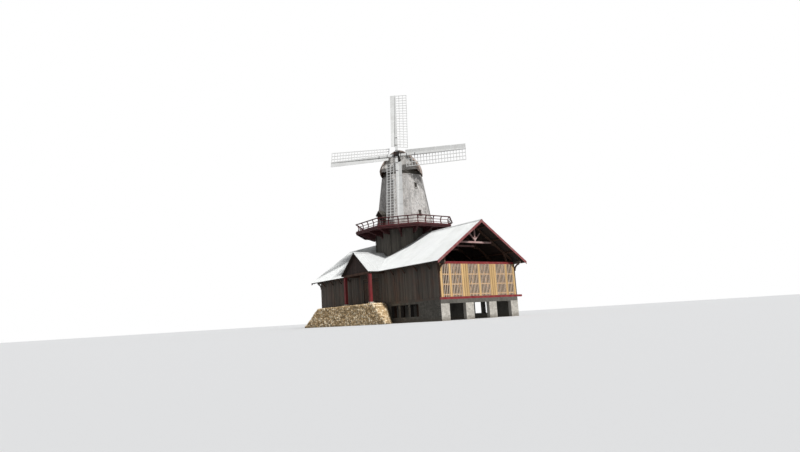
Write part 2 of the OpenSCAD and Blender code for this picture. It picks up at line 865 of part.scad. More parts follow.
// Half width, rise and place of the cap's section at station s, from 0 at the front to 1 at the tail
function cap_x(s) = cap_front - s * (cap_front + cap_back);
function cap_w(s) = let (x = cap_x(s))
    x > 0 ? 1 - 0.08 * pow(x / cap_front, 2) : 1 - 0.62 * pow(-x / cap_back, 2.3);
function cap_h(s) = let (x = cap_x(s))
    x > 0 ? 1 - 0.03 * pow(x / cap_front, 2) : 1 - 0.5 * pow(-x / cap_back, 1.9);
// A point of the section, with u from 0 to 1 round it and t the depth below the outer face
function cap_point(s, u, t) = let (
    low = -asin(min(0.9, cap_waist / (cap_rise * 0.5))) * 0.45,
    a = low + u * (180 - 2 * low),
    w = (cap_half - t) * cap_w(s),
    h = a > 0 && a < 180 ? (cap_rise - t) * cap_h(s) : cap_waist / sin(-low),
    z = h * sin(a),
    x = cap_x(s))
    [x - (x > 0 ? shaft_rise * max(0, z) * x / cap_front : 0),
     w * cos(a) * (1 - 0.12 * pow(sin(a), 2))
     * (1 - (x > 0 ? cap_flare * max(0, sin(a)) * pow(x / cap_front, 2) : 0)),
     cap_z + cap_waist + z];

// A closed skin over rings of points, with the ends in two flat faces
module skin(rings) {
    n = len(rings);
    m = len(rings[0]);
    points = [for (r = rings, p = r) p];
    sides = [for (i = [0 : n - 2], j = [0 : m - 2], k = [0, 1]) k == 0
        ? [i * m + j, i * m + j + 1, (i + 1) * m + j + 1]
        : [i * m + j, (i + 1) * m + j + 1, (i + 1) * m + j]];
    under = [for (i = [0 : n - 2]) [i * m + m - 1, i * m, (i + 1) * m, (i + 1) * m + m - 1]];
    last = (n - 1) * m;
    ends = [[m - 1, m - 2, 1, 0], [for (j = [m - 2 : -1 : 1]) j],
            [last, last + 1, last + m - 2, last + m - 1], [for (j = [1 : m - 2]) last + j]];
    polyhedron(points, concat(sides, under, ends), 4);
}

module cap_solid(t, from = 0, to = 1) {
    skin([for (i = [0 : cap_stations]) let (s = from + (to - from) * i / cap_stations)
        [for (j = [0 : cap_points]) cap_point(s, j / cap_points, t)]]);
}

module cap_roof() {
    color("darkgray") on_cap() difference() {
        cap_solid(0);
        translate([cap_t, 0, 0]) cap_solid(cap_t, 0, 1 - 2 * cap_t / (cap_front + cap_back));
        translate([0, 0, cap_z - cap_rise]) cylinder(h = cap_rise + 10, r = 2 * cap_back);
    }
}

module cap_front_boards() {
    x = cap_front - cap_recess;
    color("darkgray") on_cap() difference() {
        intersection() {
            translate([x, 0, ring_z + ring_h + 20]) rotate([0, -shaft_tilt, 0])
                span([-front_t, -big / 8, 0], [0, big / 8, big / 8]);
            translate([cap_t, 0, 0]) cap_solid(cap_t, 0, 1 - 2 * cap_t / (cap_front + cap_back));
        }
        shaft_bore(shaft_r + 40);
    }
}

// The line of the windshaft, from the hub back into the cap
module along_shaft() {
    translate([hub_out, 0, hub_z]) rotate([0, -shaft_tilt, 0]) children();
}

module shaft_bore(r) {
    along_shaft() translate([-2 * hub_out, 0, 0]) rotate([0, 90, 0]) cylinder(h = 4 * hub_out, r = r, $fn = 96);
}

module cap_frame() {
    neck_x = cap_front - cap_recess - front_t - neck_back;
    tail_x = -cap_back * 0.6;
    beam = cap_beam;
    color("saddlebrown") on_cap() difference() {
        union() {
            ring(curb_r - curb_w, curb_r, ring_z, ring_z + ring_h);
            for (x = [neck_x, tail_x]) {
                z = hub_z - (hub_out - x) * shaft_rise;
                half = min(neck_half, sqrt(pow(curb_r, 2) - pow(abs(x) + beam / 2, 2)) - 20);
                for (s = [-1, 1])
                    span([x - beam / 2, s * half - (s > 0 ? beam : 0), ring_z],
                         [x + beam / 2, s * half + (s < 0 ? beam : 0), z + 200]);
                span([x - beam / 2, -half, z - 420], [x + beam / 2, half, z + 420]);
            }
        }
        shaft_bore(shaft_r + bearing_gap);
    }
}

// Beams on the turning ring that carry the cap's boarding
module cap_bearers() {
    color("saddlebrown") on_cap() intersection() {
        for (x = [for (i = [-1 : 1]) bearer_step * (i - 0.2)])
            span([x - 120, -cap_half, ring_z + ring_h], [x + 120, cap_half, ring_z + ring_h + 200]);
        translate([cap_t, 0, 0]) cap_solid(cap_t, 0, 1 - 2 * cap_t / (cap_front + cap_back));
    }
}

// Sails. The local frame has +X along the shaft to the front, +Y to the right and +Z up

module on_hub() {
    on_cap() along_shaft() children();
}

stock_x = [stock_w / 2 + 20, -stock_w / 2 - 20];

module windshaft() {
    reach = (hub_out + cap_back * 0.6 + 400) / cos(shaft_tilt);
    color("dimgray") on_hub() rotate([0, -90, 0]) translate([0, 0, poll_l / 2])
        cylinder(h = reach - poll_l / 2, r = shaft_r, $fn = 96);
}

module poll_end() {
    color("black") on_hub() difference() {
        span([-poll_l / 2, -poll_w / 2, -poll_w / 2], [poll_l / 2, poll_w / 2, poll_w / 2]);
        span([stock_x[0] - stock_w / 2, -stock_w / 2, -poll_w], [stock_x[0] + stock_w / 2, stock_w / 2, poll_w]);
        span([stock_x[1] - stock_w / 2, -poll_w, -stock_w / 2], [stock_x[1] + stock_w / 2, poll_w, stock_w / 2]);
    }
}

// Half of a stock, tapering from the iron box to the tip, its back face straight
module half_stock() {
    a = stock_w / 2;
    b = stock_tip / 2;
    intersection() {
        translate([0, a, 0]) rotate([90, 0, 0]) linear_extrude(stock_w)
            polygon([[-a, 0], [a, 0], [a, poll_w], [-a + 2 * b, sail_r], [-a, sail_r]]);
        translate([-a, 0, 0]) rotate([90, 0, 90]) linear_extrude(stock_w)
            polygon([[-a, 0], [a, 0], [a, poll_w], [b, sail_r], [-b, sail_r], [-a, poll_w]]);
    }
}

module stocks() {
    color("ivory") on_hub() {
        translate([stock_x[0], 0, 0]) {
            half_stock();
            rotate([0, 0, 180]) mirror([1, 0, 0]) mirror([0, 0, 1]) half_stock();
        }
        translate([stock_x[1], 0, 0]) {
            rotate([90, 0, 0]) half_stock();
            rotate([-90, 0, 0]) half_stock();
        }
    }
}

// Twist of the sail at distance u from the hub: the sine changes evenly along the sail
function sail_twist(u) =
    asin(sin(twist_in) + (sin(twist_tip) - sin(twist_in)) * (u - sail_in) / (sail_r - sail_in));

// A long lath at distance c behind the stock, let into the backs of the bars
module long_lath(c) {
    a = [-c * sin(twist_in), c * cos(twist_in), sail_in - bar_w / 4];
    b = [-c * sin(twist_tip), c * cos(twist_tip), sail_r - bar_w * 1.25];
    d = b - a;
    translate(a) rotate([-atan2(d[1], d[2]), 0, 0]) rotate([0, atan2(d[0], norm([d[1], d[2]])), 0])
        span([-bar_t * 1.4, -bar_w / 2, 0], [0, bar_w / 2, norm(d)]);
}

// One sail standing up from the hub, with its leading boards on the left
module sail_frame() {
    step = (sail_r - bar_w - sail_in) / sail_rows;
    board = (sail_r - sail_in) / 4;
    for (i = [0 : sail_rows]) {
        u = sail_in + i * step;
        translate([0, 0, u]) rotate([0, 0, sail_twist(u)])
            span([-bar_t / 2, 0, -bar_w / 2], [bar_t / 2, lattice_w + bar_w * 0.8, bar_w / 2]);
    }
    for (j = [1 : sail_cols]) long_lath(lattice_w * j / sail_cols);
    for (k = [0 : 3]) rotate([0, 0, sail_twist(sail_in + (k + 0.5) * board)])
        span([-lead_t / 2, -lead_w, sail_in + k * board], [lead_t / 2, 0, sail_in + (k + 1) * board - 4]);
}

// Where a sail's bars cross the front or the back of its stock
bar_x = -stock_w / 2 + stock_tip * 0.5;

module sail_on(turn, x) {
    color("white") on_hub() rotate([turn, 0, 0]) translate([x, 0, 0]) difference() {
        translate([bar_x, 0, 0]) sail_frame();
        half_stock();
    }
}

module sail_top() {
    sail_on(0, stock_x[0]);
}

module sail_left() {
    sail_on(90, stock_x[1]);
}

module sail_bottom() {
    sail_on(180, stock_x[0]);
}

module sail_right() {
    sail_on(270, stock_x[1]);
}

tower_pad();
gable_piers();
gable_lintels();
long_plinths();
barn_floor();
long_beams();
gable_beams();
long_walls();
barn_doors();
gable_slats_right();
gable_slats_left();
corner_posts();
truss_rafters();
truss_beams();
truss_arches();
king_posts();
overhang_braces();
purlins();
main_roof();
verge_boards();
stone_bank();
porch_posts();
porch_beams();
porch_roof();
porch_gable();
tower_posts();
drum_walls();
gallery_deck();
gallery_brackets();
gallery_rail();
tower_walls();
tower_windows();
gallery_doors();
door_hoods();
curb_ring();
cap_frame();
cap_bearers();
cap_roof();
cap_front_boards();
windshaft();
poll_end();
stocks();
sail_top();
sail_left();
sail_bottom();
sail_right();
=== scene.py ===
"""Dresses the smock mill on its timber barn: shingles, boards, rubble, doors, windows, finishes, light and camera.

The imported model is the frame. Every piece made here sits on it in metres, with its place in its mesh.
"""

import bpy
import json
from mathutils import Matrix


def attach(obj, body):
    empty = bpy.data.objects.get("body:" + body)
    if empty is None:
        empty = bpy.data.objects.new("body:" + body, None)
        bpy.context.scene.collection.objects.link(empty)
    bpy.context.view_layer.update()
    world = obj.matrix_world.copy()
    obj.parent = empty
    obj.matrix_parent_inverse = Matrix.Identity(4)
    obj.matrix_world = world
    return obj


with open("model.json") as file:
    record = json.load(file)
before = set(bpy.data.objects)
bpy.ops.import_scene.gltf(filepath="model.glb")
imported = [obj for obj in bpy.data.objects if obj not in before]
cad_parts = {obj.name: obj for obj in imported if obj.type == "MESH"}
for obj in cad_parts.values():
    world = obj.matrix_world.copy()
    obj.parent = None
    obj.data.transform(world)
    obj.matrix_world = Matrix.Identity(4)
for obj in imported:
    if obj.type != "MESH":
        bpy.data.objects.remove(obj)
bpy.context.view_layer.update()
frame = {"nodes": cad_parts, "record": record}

import json
import logging
import math
import random
from dataclasses import dataclass, field, replace
from enum import Enum
from itertools import pairwise, product
from typing import Callable, Iterable, Sequence

import bpy
import numpy as np
from mathutils import Matrix, Quaternion, Vector

log = logging.getLogger("windmill")

Rgb = tuple[float, float, float]
Span = tuple[float, float]
Socket = bpy.types.NodeSocket
OCTAGON = math.radians(22.5)
HALF_SIDE = math.tan(OCTAGON)
BOTH = (-1, 1)
X, Y, Z = Vector((1, 0, 0)), Vector((0, 1, 0)), Vector((0, 0, 1))


def shade(colour: Rgb) -> tuple[float, ...]:
    """Turns a colour on the 0 to 255 scale into the linear values that a shader takes.

    Args:
        colour: Red, green and blue.

    Returns:
        Linear red, green, blue and full cover.
    """
    parts = [v / 255 for v in colour]
    return *(v / 12.92 if v <= 0.04045 else ((v + 0.055) / 1.055) ** 2.4 for v in parts), 1.0


def ways(angle: float) -> tuple[Vector, Vector]:
    """Gives the directions of an upright wall.

    Args:
        angle: Bearing that the wall looks to, in degrees.

    Returns:
        The direction out of the wall and the direction along it.
    """
    a = math.radians(angle)
    return Vector((math.cos(a), math.sin(a), 0)), Vector((-math.sin(a), math.cos(a), 0))


def fall(way: Vector, slope: float) -> tuple[Vector, Vector]:
    """Gives the directions of a roof.

    Args:
        way: Level direction that the roof falls to.
        slope: Fall for each metre out.

    Returns:
        The direction down the roof and the direction out of it.
    """
    pitch = math.atan(slope)
    return way * math.cos(pitch) - Z * math.sin(pitch), way * math.sin(pitch) + Z * math.cos(pitch)


def in_scene(name: str, data: bpy.types.ID) -> bpy.types.Object:
    """Makes an object at the origin and links it.

    Args:
        name: Name of the object.
        data: Its mesh, light or camera.

    Returns:
        The object.
    """
    made = bpy.data.objects.new(name, data)
    bpy.context.scene.collection.objects.link(made)
    return made


def toned_piece(name: str, points: Sequence[Vector], faces: Sequence[tuple[int, ...]], tones: Sequence[float],
                material: bpy.types.Material) -> bpy.types.Object:
    """Makes a piece whose points carry the tone of the board or sheet that they belong to.

    Args:
        name: Name of the piece.
        points: Its points.
        faces: The point numbers of each face.
        tones: The tone at each point, from -1 to 1.
        material: The finish.

    Returns:
        The piece.
    """
    mesh = bpy.data.meshes.new(name)
    mesh.from_pydata([p[:] for p in points], [], faces)
    mesh.attributes.new("tone", "FLOAT", "POINT").data.foreach_set("value", tones)
    mesh.materials.append(material)
    return in_scene(name, mesh)


class Body(Enum):
    """The moving bodies that a piece can ride on."""

    BUILDING = "building"
    CAP = "cap"
    SAILS = "sails"


class Graph:
    """Adds and joins nodes in one shader or geometry tree."""

    def __init__(self, tree: bpy.types.NodeTree) -> None:
        """Keeps the tree that the nodes go into."""
        self.tree = tree

    def fill(self, node: bpy.types.Node, values: dict) -> bpy.types.Node:
        """Fills a node's inputs.

        Args:
            node: The node.
            values: Input name or number to a value or to a socket that feeds it.

        Returns:
            The same node.
        """
        for key, value in values.items():
            if isinstance(value, Socket):
                self.tree.links.new(value, node.inputs[key])
            else:
                node.inputs[key].default_value = value
        return node

    def add(self, kind: str, values: dict | None = None, **settings: object) -> bpy.types.Node:
        """Adds a node.

        Args:
            kind: Type name of the node.
            values: Input name or number to a value or to a socket that feeds it.
            **settings: Properties of the node itself.

        Returns:
            The new node.
        """
        node = self.tree.nodes.new(kind)
        for name, value in settings.items():
            setattr(node, name, value)
        return self.fill(node, values or {})

    def maths(self, operation: str, a: object, b: object) -> Socket:
        """Adds a maths node and gives its result."""
        return self.add("ShaderNodeMath", {0: a, 1: b}, operation=operation).outputs[0]

    def plus(self, a: object, b: object) -> Socket:
        """Adds b to a."""
        return self.maths("ADD", a, b)

    def less(self, a: object, b: object) -> Socket:
        """Takes b from a."""
        return self.maths("SUBTRACT", a, b)

    def times(self, a: object, b: object) -> Socket:
        """Multiplies a by b."""
        return self.maths("MULTIPLY", a, b)

    def over(self, a: object, b: object) -> Socket:
        """Divides a by b."""
        return self.maths("DIVIDE", a, b)

    def vector(self, operation: str, a: object, b: object) -> bpy.types.Node:
        """Adds a vector maths node; b is a number only where it scales a."""
        return self.add("ShaderNodeVectorMath", {0: a, 3 if operation == "SCALE" else 1: b}, operation=operation)

    def blend(self, factor: object, a: object, b: object, mode: str = "MIX") -> Socket:
        """Mixes two colours, with factor as the share of b."""
        return self.add("ShaderNodeMix", {0: factor, 6: a, 7: b}, data_type="RGBA", blend_type=mode).outputs[2]

    def ramp(self, value: object, low: float, high: float, a: float = 0.0, b: float = 1.0) -> Socket:
        """Maps a value smoothly from low..high to a..b."""
        ends = {0: value, 1: low, 2: high, 3: a, 4: b}
        return self.add("ShaderNodeMapRange", ends, interpolation_type="SMOOTHSTEP").outputs[0]

    def noise(self, place: Socket, scale: object, detail: float, rough: float = 0.5, twist: float = 0.0,
              shift: object = None) -> Socket:
        """Adds a noise texture.

        Args:
            place: The point that it is read at.
            scale: Waves in a metre.
            detail: Layers of finer waves.
            rough: Strength of the finer waves.
            twist: How far the waves are bent.
            shift: Moves the noise through a fourth direction, where given.

        Returns:
            The noise value.
        """
        values = {"Vector": place, "Scale": scale, "Detail": detail, "Roughness": rough, "Distortion": twist}
        if shift is None:
            return self.add("ShaderNodeTexNoise", values).outputs[0]
        return self.add("ShaderNodeTexNoise", values | {"W": shift}, noise_dimensions="4D").outputs[0]

    def group(self, tree: bpy.types.NodeTree, **values: object) -> bpy.types.NodeOutputs:
        """Places a shared group with its own values and gives its outputs."""
        return self.add("ShaderNodeGroup", values, node_tree=tree).outputs


Wiring = Callable[[Graph, bpy.types.NodeOutputs], dict[str, Socket]]


class EffectKit:
    """Shader groups that several finishes share, each built once."""

    def __init__(self) -> None:
        """Builds every group from the names and defaults of its inputs."""
        spot = {"Place": (0.0, 0.0, 0.0)}
        self.grain = self._group("timber_grain", spot | {"Stretch": (6.0, 6.0, 0.5), "Shift": 0.0}, self._grain)
        self.stain = self._group("weather_stain", spot | {"Size": 1.0, "Run": 0.3, "Amount": 0.5}, self._stain)
        self.foot = self._group("foot_dirt", spot | {"Height": 0.8, "Amount": 0.6}, self._foot)
        self.piece = self._group("piece_tone", {"Spread": 0.2}, self._piece)
        self.joints = self._group("board_joints", spot | {"Across": (1.0, 0.0, 0.0), "Width": 0.2, "Gap": 0.06},
                                  self._joints)
        self.pores = self._group("stone_pores", spot | {"Size": 0.1}, self._pores)

    def _group(self, name: str, ins: dict[str, object], wiring: Wiring) -> bpy.types.NodeTree:
        """Builds a group with named sockets.

        Args:
            name: Name of the group.
            ins: Name and default of each input.
            wiring: Adds the nodes and gives the value of each output.

        Returns:
            The group.
        """
        tree = bpy.data.node_groups.new(name, "ShaderNodeTree")
        for label, default in ins.items():
            kind = "NodeSocketFloat" if isinstance(default, float) else "NodeSocketVector"
            tree.interface.new_socket(name=label, in_out="INPUT", socket_type=kind).default_value = default
        g = Graph(tree)
        outs = wiring(g, g.add("NodeGroupInput").outputs)
        for label in outs:
            tree.interface.new_socket(name=label, in_out="OUTPUT", socket_type="NodeSocketFloat")
        g.add("NodeGroupOutput", outs)
        return tree

    def _grain(self, g: Graph, i: bpy.types.NodeOutputs) -> dict[str, Socket]:
        """Wires the wood grain: broad bands and fine fibres stretched along the timber.

        Args:
            g: The group's graph.
            i: The group's inputs.

        Returns:
            The outputs by name.
        """
        place = g.vector("MULTIPLY", i["Place"], i["Stretch"]).outputs[0]
        bands = g.noise(place, 1.0, 4.0, 0.55, 0.6, i["Shift"])
        fibre = g.noise(place, 7.0, 3.0, 0.7, 0.3, i["Shift"])
        mix = g.plus(g.times(bands, 0.6), g.times(fibre, 0.4))
        return {"Tone": g.ramp(mix, 0.34, 0.66), "Fibre": fibre}

    def _stain(self, g: Graph, i: bpy.types.NodeOutputs) -> dict[str, Socket]:
        """Wires weather stains: patches drawn out downwards.

        Args:
            g: The group's graph.
            i: The group's inputs.

        Returns:
            The outputs by name.
        """
        axis = g.add("ShaderNodeCombineXYZ", {0: 1.0, 1: 1.0, 2: i["Run"]}).outputs[0]
        place = g.vector("MULTIPLY", i["Place"], axis).outputs[0]
        scale = g.over(1.0, i["Size"])
        patches = g.noise(place, scale, 6.0, 0.62, 0.4)
        fine = g.noise(place, g.times(scale, 9.0), 3.0, 0.6)
        mix = g.plus(g.times(patches, 0.75), g.times(fine, 0.25))
        return {"Mask": g.times(g.ramp(mix, 0.45, 0.68), i["Amount"])}

    def _foot(self, g: Graph, i: bpy.types.NodeOutputs) -> dict[str, Socket]:
        """Wires the dirt that splashes up from the ground.

        Args:
            g: The group's graph.
            i: The group's inputs.

        Returns:
            The outputs by name.
        """
        level = g.over(g.add("ShaderNodeSeparateXYZ", {0: i["Place"]}).outputs[2], i["Height"])
        ragged = g.plus(level, g.times(g.less(g.noise(i["Place"], 2.2, 5.0), 0.5), 0.9))
        return {"Mask": g.times(g.ramp(ragged, 0.0, 1.0, 1.0, 0.0), i["Amount"])}

    def _piece(self, g: Graph, i: bpy.types.NodeOutputs) -> dict[str, Socket]:
        """Wires the lightness of a single board, shingle or stone from its tone attribute."""
        tone = g.add("ShaderNodeAttribute", attribute_name="tone", attribute_type="GEOMETRY").outputs["Fac"]
        return {"Factor": g.plus(1.0, g.times(tone, i["Spread"])), "Tone": tone}

    def _joints(self, g: Graph, i: bpy.types.NodeOutputs) -> dict[str, Socket]:
        """Wires the joints and the tone of boards drawn on one wide face.

        Args:
            g: The group's graph.
            i: The group's inputs.

        Returns:
            The outputs by name.
        """
        u = g.over(g.vector("DOT_PRODUCT", i["Place"], i["Across"]).outputs["Value"], i["Width"])
        part = g.maths("FRACT", u, 0.0)
        near = g.maths("MINIMUM", part, g.less(1.0, part))
        tone = g.add("ShaderNodeTexWhiteNoise", {"W": g.maths("FLOOR", u, 0.0)}, noise_dimensions="1D")
        return {"Groove": g.ramp(near, 0.0, i["Gap"], 1.0, 0.0), "Tone": tone.outputs["Value"]}

    def _pores(self, g: Graph, i: bpy.types.NodeOutputs) -> dict[str, Socket]:
        """Wires the pitted face of cast masonry and rough stone.

        Args:
            g: The group's graph.
            i: The group's inputs.

        Returns:
            The outputs by name.
        """
        scale = g.over(1.0, i["Size"])
        cells = g.add("ShaderNodeTexVoronoi", {"Vector": i["Place"], "Scale": g.times(scale, 2.5)})
        return {"Tone": g.ramp(g.noise(i["Place"], scale, 8.0, 0.65), 0.3, 0.7),
                "Pit": g.ramp(cells.outputs[0], 0.0, 0.22)}


@dataclass(frozen=True)
class Finish:
    """A weathered surface: a base colour with grain, stains, dirt and the tone of single pieces."""

    name: str
    base: Rgb
    deep: Rgb
    stain: Rgb
    stretch: Rgb = (7.0, 7.0, 0.5)
    grain: float = 0.6
    stain_size: float = 1.2
    stain_run: float = 0.3
    stain_amount: float = 0.5
    foot: float = 0.0
    foot_height: float = 0.9
    earth: Rgb = (96, 84, 68)
    spread: float = 0.18
    boards: float = 0.0
    across: Rgb = (1.0, 0.0, 0.0)
    alt: Rgb | None = None
    rough: float = 0.8
    rough_swing: float = 0.14
    bump: float = 0.35
    bump_size: float = 0.012
    pores: float = 0.0
    metal: float = 0.0
    gloss: float = 0.35

    def like(self, name: str, base: Rgb, deep: Rgb, stain: Rgb, **changes: object) -> "Finish":
        """Gives a finish of the same kind in other colours, with some values changed."""
        return replace(self, name=name, base=base, deep=deep, stain=stain, **changes)

    def make(self, kit: EffectKit) -> bpy.types.Material:
        """Builds the material.

        Args:
            kit: The shared shader groups.

        Returns:
            The finished material.
        """
        material = bpy.data.materials.new(self.name)
        material.use_nodes = True
        g = Graph(material.node_tree)
        place = g.add("ShaderNodeTexCoord").outputs["Object"]
        piece = g.group(kit.piece, Spread=self.spread)
        if self.pores:
            main = g.group(kit.pores, Place=place, Size=self.pores)
        else:
            main = g.group(kit.grain, Place=place, Stretch=self.stretch, Shift=g.times(piece["Tone"], 9.0))
        tone, height = main[0], main[1]
        colour = g.blend(g.times(tone, self.grain), shade(self.base), shade(self.deep))
        if self.alt:
            colour = g.blend(g.ramp(piece["Tone"], -0.2, 1.0), colour, shade(self.alt))
        factor = piece["Factor"]
        if self.boards:
            lines = g.group(kit.joints, Place=place, Across=self.across, Width=self.boards)
            swing = g.times(g.less(lines["Tone"], 0.5), self.spread * 1.6)
            factor = g.times(factor, g.plus(1.0, swing))
            factor = g.times(factor, g.ramp(lines["Groove"], 0.0, 1.0, 1.0, 0.35))
            height = g.less(g.times(height, 0.4), lines["Groove"])
        grey = g.add("ShaderNodeCombineColor", {0: factor, 1: factor, 2: factor}).outputs[0]
        colour = g.blend(1.0, colour, grey, "MULTIPLY")
        patch = g.group(kit.stain, Place=place, Size=self.stain_size, Run=self.stain_run, Amount=self.stain_amount)
        colour = g.blend(patch["Mask"], colour, shade(self.stain))
        if self.foot:
            dirt = g.group(kit.foot, Place=place, Height=self.foot_height, Amount=self.foot)
            colour = g.blend(dirt["Mask"], colour, shade(self.earth))
        rough = g.add("ShaderNodeMath", {0: self.rough - self.rough_swing / 2, 1: g.times(tone, self.rough_swing)},
                      operation="ADD", use_clamp=True)
        relief = g.add("ShaderNodeBump", {"Strength": self.bump, "Distance": self.bump_size, "Height": height})
        g.fill(material.node_tree.nodes["Principled BSDF"], {
            "Base Color": colour, "Roughness": rough.outputs[0], "Normal": relief.outputs[0], "Metallic": self.metal,
            "Specular IOR Level": self.gloss})
        material.diffuse_color = shade(self.base)
        return material


@dataclass(frozen=True)
class GlassFinish:
    """Old window glass with a little dust on it, painted dark as shade for the room behind."""

    name: str
    inside_shade: Rgb = (34, 38, 42)
    dust: Rgb = (84, 82, 76)

    def make(self, kit: EffectKit) -> bpy.types.Material:
        """Builds the glass as a dark sheet, painted shade for the room behind, with clear gloss and patches of dust.

        Args:
            kit: The shared shader groups.

        Returns:
            The finished material.
        """
        material = bpy.data.materials.new(self.name)
        material.use_nodes = True
        g = Graph(material.node_tree)
        patch = g.group(kit.stain, Place=g.add("ShaderNodeTexCoord").outputs["Object"], Size=0.25, Amount=0.6)["Mask"]
        g.fill(material.node_tree.nodes["Principled BSDF"], {
            "Base Color": g.blend(patch, shade(self.inside_shade), shade(self.dust)),
            "Roughness": g.plus(0.06, g.times(patch, 0.5)), "IOR": 1.5, "Transmission Weight": 0.1})
        return material


CONCRETE = Finish("concrete", (228, 222, 211), (192, 186, 175), (134, 126, 113), pores=0.16, stain_size=0.9,
                  stain_amount=0.45, foot=0.55, foot_height=0.6, spread=0.16, bump=0.4, bump_size=0.01, grain=0.7,
                  rough=0.9)
RUBBLE = Finish("rubble", (232, 200, 152), (176, 146, 106), (126, 120, 98), pores=0.12, stain_size=0.5, stain_run=1.0,
                stain_amount=0.3, foot=0.35, foot_height=0.4, spread=0.3, alt=(244, 226, 194), bump=0.7,
                bump_size=0.02, rough=0.92)
WALL_BOARDS = Finish("dark_boards", (112, 105, 97), (74, 69, 63), (138, 98, 80), stretch=(11.0, 11.0, 0.55),
                     stain_amount=0.42, spread=0.32, bump=0.5)
DOOR_BOARDS = Finish("door_boards", (100, 81, 69), (64, 52, 45), (124, 110, 96), stretch=(10.0, 10.0, 0.5),
                     stain_amount=0.35, spread=0.22, bump=0.45)
RED_PAINT = Finish("red_timber", (152, 48, 52), (112, 34, 40), (150, 122, 112), stretch=(2.5, 2.5, 2.5),
                   stain_size=0.5, stain_run=1.0, stain_amount=0.3, spread=0.14, bump=0.25, rough=0.62)
GALLERY_PAINT = Finish("gallery_timber", (92, 32, 35), (60, 22, 25), (112, 84, 78), stretch=(3.0, 3.0, 3.0),
                       stain_size=0.5, stain_run=0.6, stain_amount=0.3, spread=0.16, bump=0.3, rough=0.62)
PALE_SLATS = Finish("pale_slats", (240, 202, 144), (208, 162, 104), (182, 154, 116), stretch=(9.0, 9.0, 0.5),
                    stain_size=0.8, stain_amount=0.3, spread=0.14, bump=0.35, rough=0.72)
SHINGLES = Finish("tower_shingles", (243, 240, 236), (192, 187, 181), (128, 123, 118), stretch=(14.0, 14.0, 1.2),
                  stain_size=0.7, stain_run=0.5, stain_amount=0.6, spread=0.36, alt=(190, 185, 180), bump=0.5,
                  rough=0.88)

